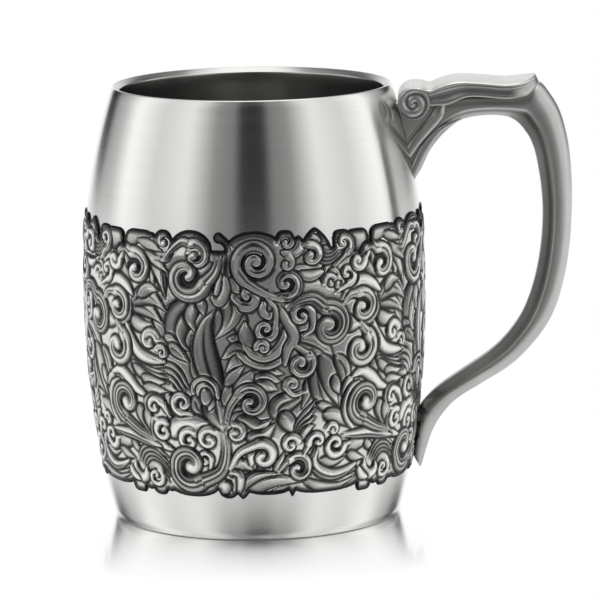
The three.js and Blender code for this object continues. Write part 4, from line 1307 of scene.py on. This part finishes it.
def background_ray(nodes, links):
    """One for rays from the camera, and for those by way of metal or glass; nought for the rest."""
    path = nodes.new("ShaderNodeLightPath")
    seen = path.outputs["Is Camera Ray"]
    for kind in ("Is Glossy Ray", "Is Transmission Ray"):
        seen = math_node(nodes, links, "MAXIMUM", seen, path.outputs[kind])
    return seen


def mix_shaders(nodes, links, factor, first, second):
    """Two shaders mixed by a factor."""
    mix = nodes.new("ShaderNodeMixShader")
    links.new(factor, mix.inputs["Fac"])
    links.new(first, mix.inputs[1])
    links.new(second, mix.inputs[2])
    return mix.outputs["Shader"]


def white_table():
    """Plain grey to lamps, white to the camera and to metal; near the foot it mirrors the tankard."""
    material, nodes, links, shader = new_material("white_table")
    shader.inputs["Base Color"].default_value = (TABLE_GREY, TABLE_GREY, TABLE_GREY, 1)
    shader.inputs["Roughness"].default_value = TABLE_ROUGHNESS
    white = nodes.new("ShaderNodeEmission")
    sheen = nodes.new("ShaderNodeBsdfGlossy")
    sheen.inputs["Color"].default_value = (1, 1, 1, 1)
    sheen.inputs["Roughness"].default_value = TABLE_ROUGHNESS
    near = nodes.new("ShaderNodeAmbientOcclusion")
    near.inputs["Distance"].default_value = MIRROR_REACH * MM
    fade = nodes.new("ShaderNodeMapRange")
    fade.inputs["From Min"].default_value = 1
    fade.inputs["From Max"].default_value = MIRROR_FULL
    fade.inputs["To Max"].default_value = MIRROR_SHARE
    links.new(near.outputs["AO"], fade.inputs["Value"])
    seen = mix_shaders(nodes, links, fade.outputs["Result"], white.outputs["Emission"], sheen.outputs["BSDF"])
    table = mix_shaders(nodes, links, background_ray(nodes, links), shader.outputs["BSDF"], seen)
    links.new(table, nodes["Material Output"].inputs["Surface"])
    return material


def floor():
    """The table that the tankard stands on."""
    bm = bmesh.new()
    bmesh.ops.create_grid(bm, x_segments=1, y_segments=1, size=TABLE_HALF * MM)
    new_object(bm, "floor", white_table())


def wall_glow(towards):
    """Light of the studio wall, which changes with the angle from a direction."""
    material, nodes, links, _ = new_material("studio_wall")
    place = nodes.new("ShaderNodeTexCoord")
    flat = nodes.new("ShaderNodeVectorMath")
    flat.operation = "MULTIPLY"
    flat.inputs[1].default_value = (1, 1, 0)
    unit = nodes.new("ShaderNodeVectorMath")
    unit.operation = "NORMALIZE"
    facing = nodes.new("ShaderNodeVectorMath")
    facing.operation = "DOT_PRODUCT"
    facing.inputs[1].default_value = towards
    angle = nodes.new("ShaderNodeMath")
    angle.operation = "ARCCOSINE"
    glow = nodes.new("ShaderNodeEmission")
    links.new(place.outputs["Object"], flat.inputs[0])
    links.new(flat.outputs["Vector"], unit.inputs[0])
    links.new(unit.outputs["Vector"], facing.inputs[0])
    links.new(facing.outputs["Value"], angle.inputs[0])
    share = math_node(nodes, links, "DIVIDE", angle.outputs[0], math.pi)
    tone = ramp(nodes, links, share, [(degrees / 180, value) for degrees, value in STUDIO_TONES])
    links.new(tone, glow.inputs["Color"])
    links.new(glow.outputs["Emission"], nodes["Material Output"].inputs["Surface"])
    return material


def stage_reflected(thing):
    """Hides a piece of the studio from the camera, from diffuse light and from shadows, so that it shows in
    reflections only.
    """
    thing.visible_camera = False
    thing.visible_diffuse = False
    thing.visible_shadow = False


def studio_wall(towards):
    """A wall round the table: a dark gap at the camera, softboxes at its sides, dark flags behind."""
    bm = bmesh.new()
    bmesh.ops.create_circle(bm, cap_ends=False, radius=STUDIO_RADIUS * MM, segments=STUDIO_STEPS)
    up = bmesh.ops.extrude_edge_only(bm, edges=list(bm.edges))["geom"]
    top = [v for v in up if isinstance(v, bmesh.types.BMVert)]
    bmesh.ops.translate(bm, verts=top, vec=(0, 0, STUDIO_HEIGHT * MM))
    stage_reflected(new_object(bm, "studio_wall", wall_glow(towards)))


def front_flag():
    """A dark card that lies on the table before the tankard; it shows in the metal only."""
    bm = bmesh.new()
    bmesh.ops.create_grid(bm, x_segments=1, y_segments=1, size=0.5)
    bmesh.ops.scale(bm, verts=bm.verts, vec=(FLAG_WIDTH * MM, FLAG_LENGTH * MM, 1))
    middle = FLAG_EDGE + FLAG_LENGTH / 2
    bmesh.ops.translate(bm, verts=bm.verts, vec=(0, -middle * MM, FLAG_HEIGHT * MM))
    material, nodes, links, _ = new_material("front_flag")
    glow = nodes.new("ShaderNodeEmission")
    glow.inputs["Color"].default_value = (FLAG_TONE, FLAG_TONE, FLAG_TONE, 1)
    links.new(glow.outputs["Emission"], nodes["Material Output"].inputs["Surface"])
    stage_reflected(new_object(bm, "front_flag", material))


def world():
    """A plain white world."""
    scene = bpy.context.scene
    scene.world = bpy.data.worlds.new("studio")
    scene.world.use_nodes = True
    back = scene.world.node_tree.nodes["Background"]
    back.inputs["Color"].default_value = (1, 1, 1, 1)
    back.inputs["Strength"].default_value = 1


def overhead_softbox():
    """The one lamp, above the tankard."""
    light = bpy.data.lights.new("overhead", "AREA")
    light.shape = "SQUARE"
    light.size = OVERHEAD_SIZE * MM
    light.energy = OVERHEAD_POWER
    lamp = bpy.data.objects.new("overhead", light)
    bpy.context.scene.collection.objects.link(lamp)
    lamp.location = Vector(OVERHEAD_PLACE) * MM
    aim = Vector(OVERHEAD_AIM) - Vector(OVERHEAD_PLACE)
    lamp.rotation_euler = aim.to_track_quat("-Z", "Y").to_euler()


def camera():
    """The photo's camera, from its place and its angles."""
    pitch, yaw, roll_angle = (math.radians(a) for a in (CAMERA_PITCH, CAMERA_YAW, CAMERA_ROLL))
    forward = Vector((math.sin(yaw) * math.cos(pitch), math.cos(yaw) * math.cos(pitch), -math.sin(pitch)))
    right = Vector((math.cos(yaw), -math.sin(yaw), 0))
    up = right.cross(forward)
    rolled_right = math.cos(roll_angle) * right + math.sin(roll_angle) * up
    rolled_up = -math.sin(roll_angle) * right + math.cos(roll_angle) * up
    axes = Matrix((rolled_right, rolled_up, -forward)).transposed().to_4x4()
    turn = Matrix.Rotation(math.radians(CAMERA_TURN), 4, "Z")
    data = bpy.data.cameras.new("camera")
    data.sensor_width = CAMERA_SENSOR
    data.lens = CAMERA_LENS
    data.clip_end = CAMERA_REACH * MM
    view = bpy.data.objects.new("camera", data)
    bpy.context.scene.collection.objects.link(view)
    view.matrix_world = Matrix.Translation(Vector(CAMERA_PLACE) * MM) @ turn @ axes
    bpy.context.scene.camera = view


def main():
    """Builds the tankard's pieces, then the studio round them."""
    bpy.context.scene.view_settings.view_transform = "Standard"
    satin = satin_pewter()
    barrel(satin)
    base(satin)
    antiqued = relief_pewter()
    relief = relief_field()
    for number in range(1, PANEL_COUNT + 1):
        panel(number, relief, antiqued)
    polished = cast_pewter()
    handle(polished)
    thumb_rest(polished)
    floor()
    studio_wall(Vector((CAMERA_PLACE[0], CAMERA_PLACE[1], 0)).normalized())
    front_flag()
    world()
    overhead_softbox()
    camera()


main()
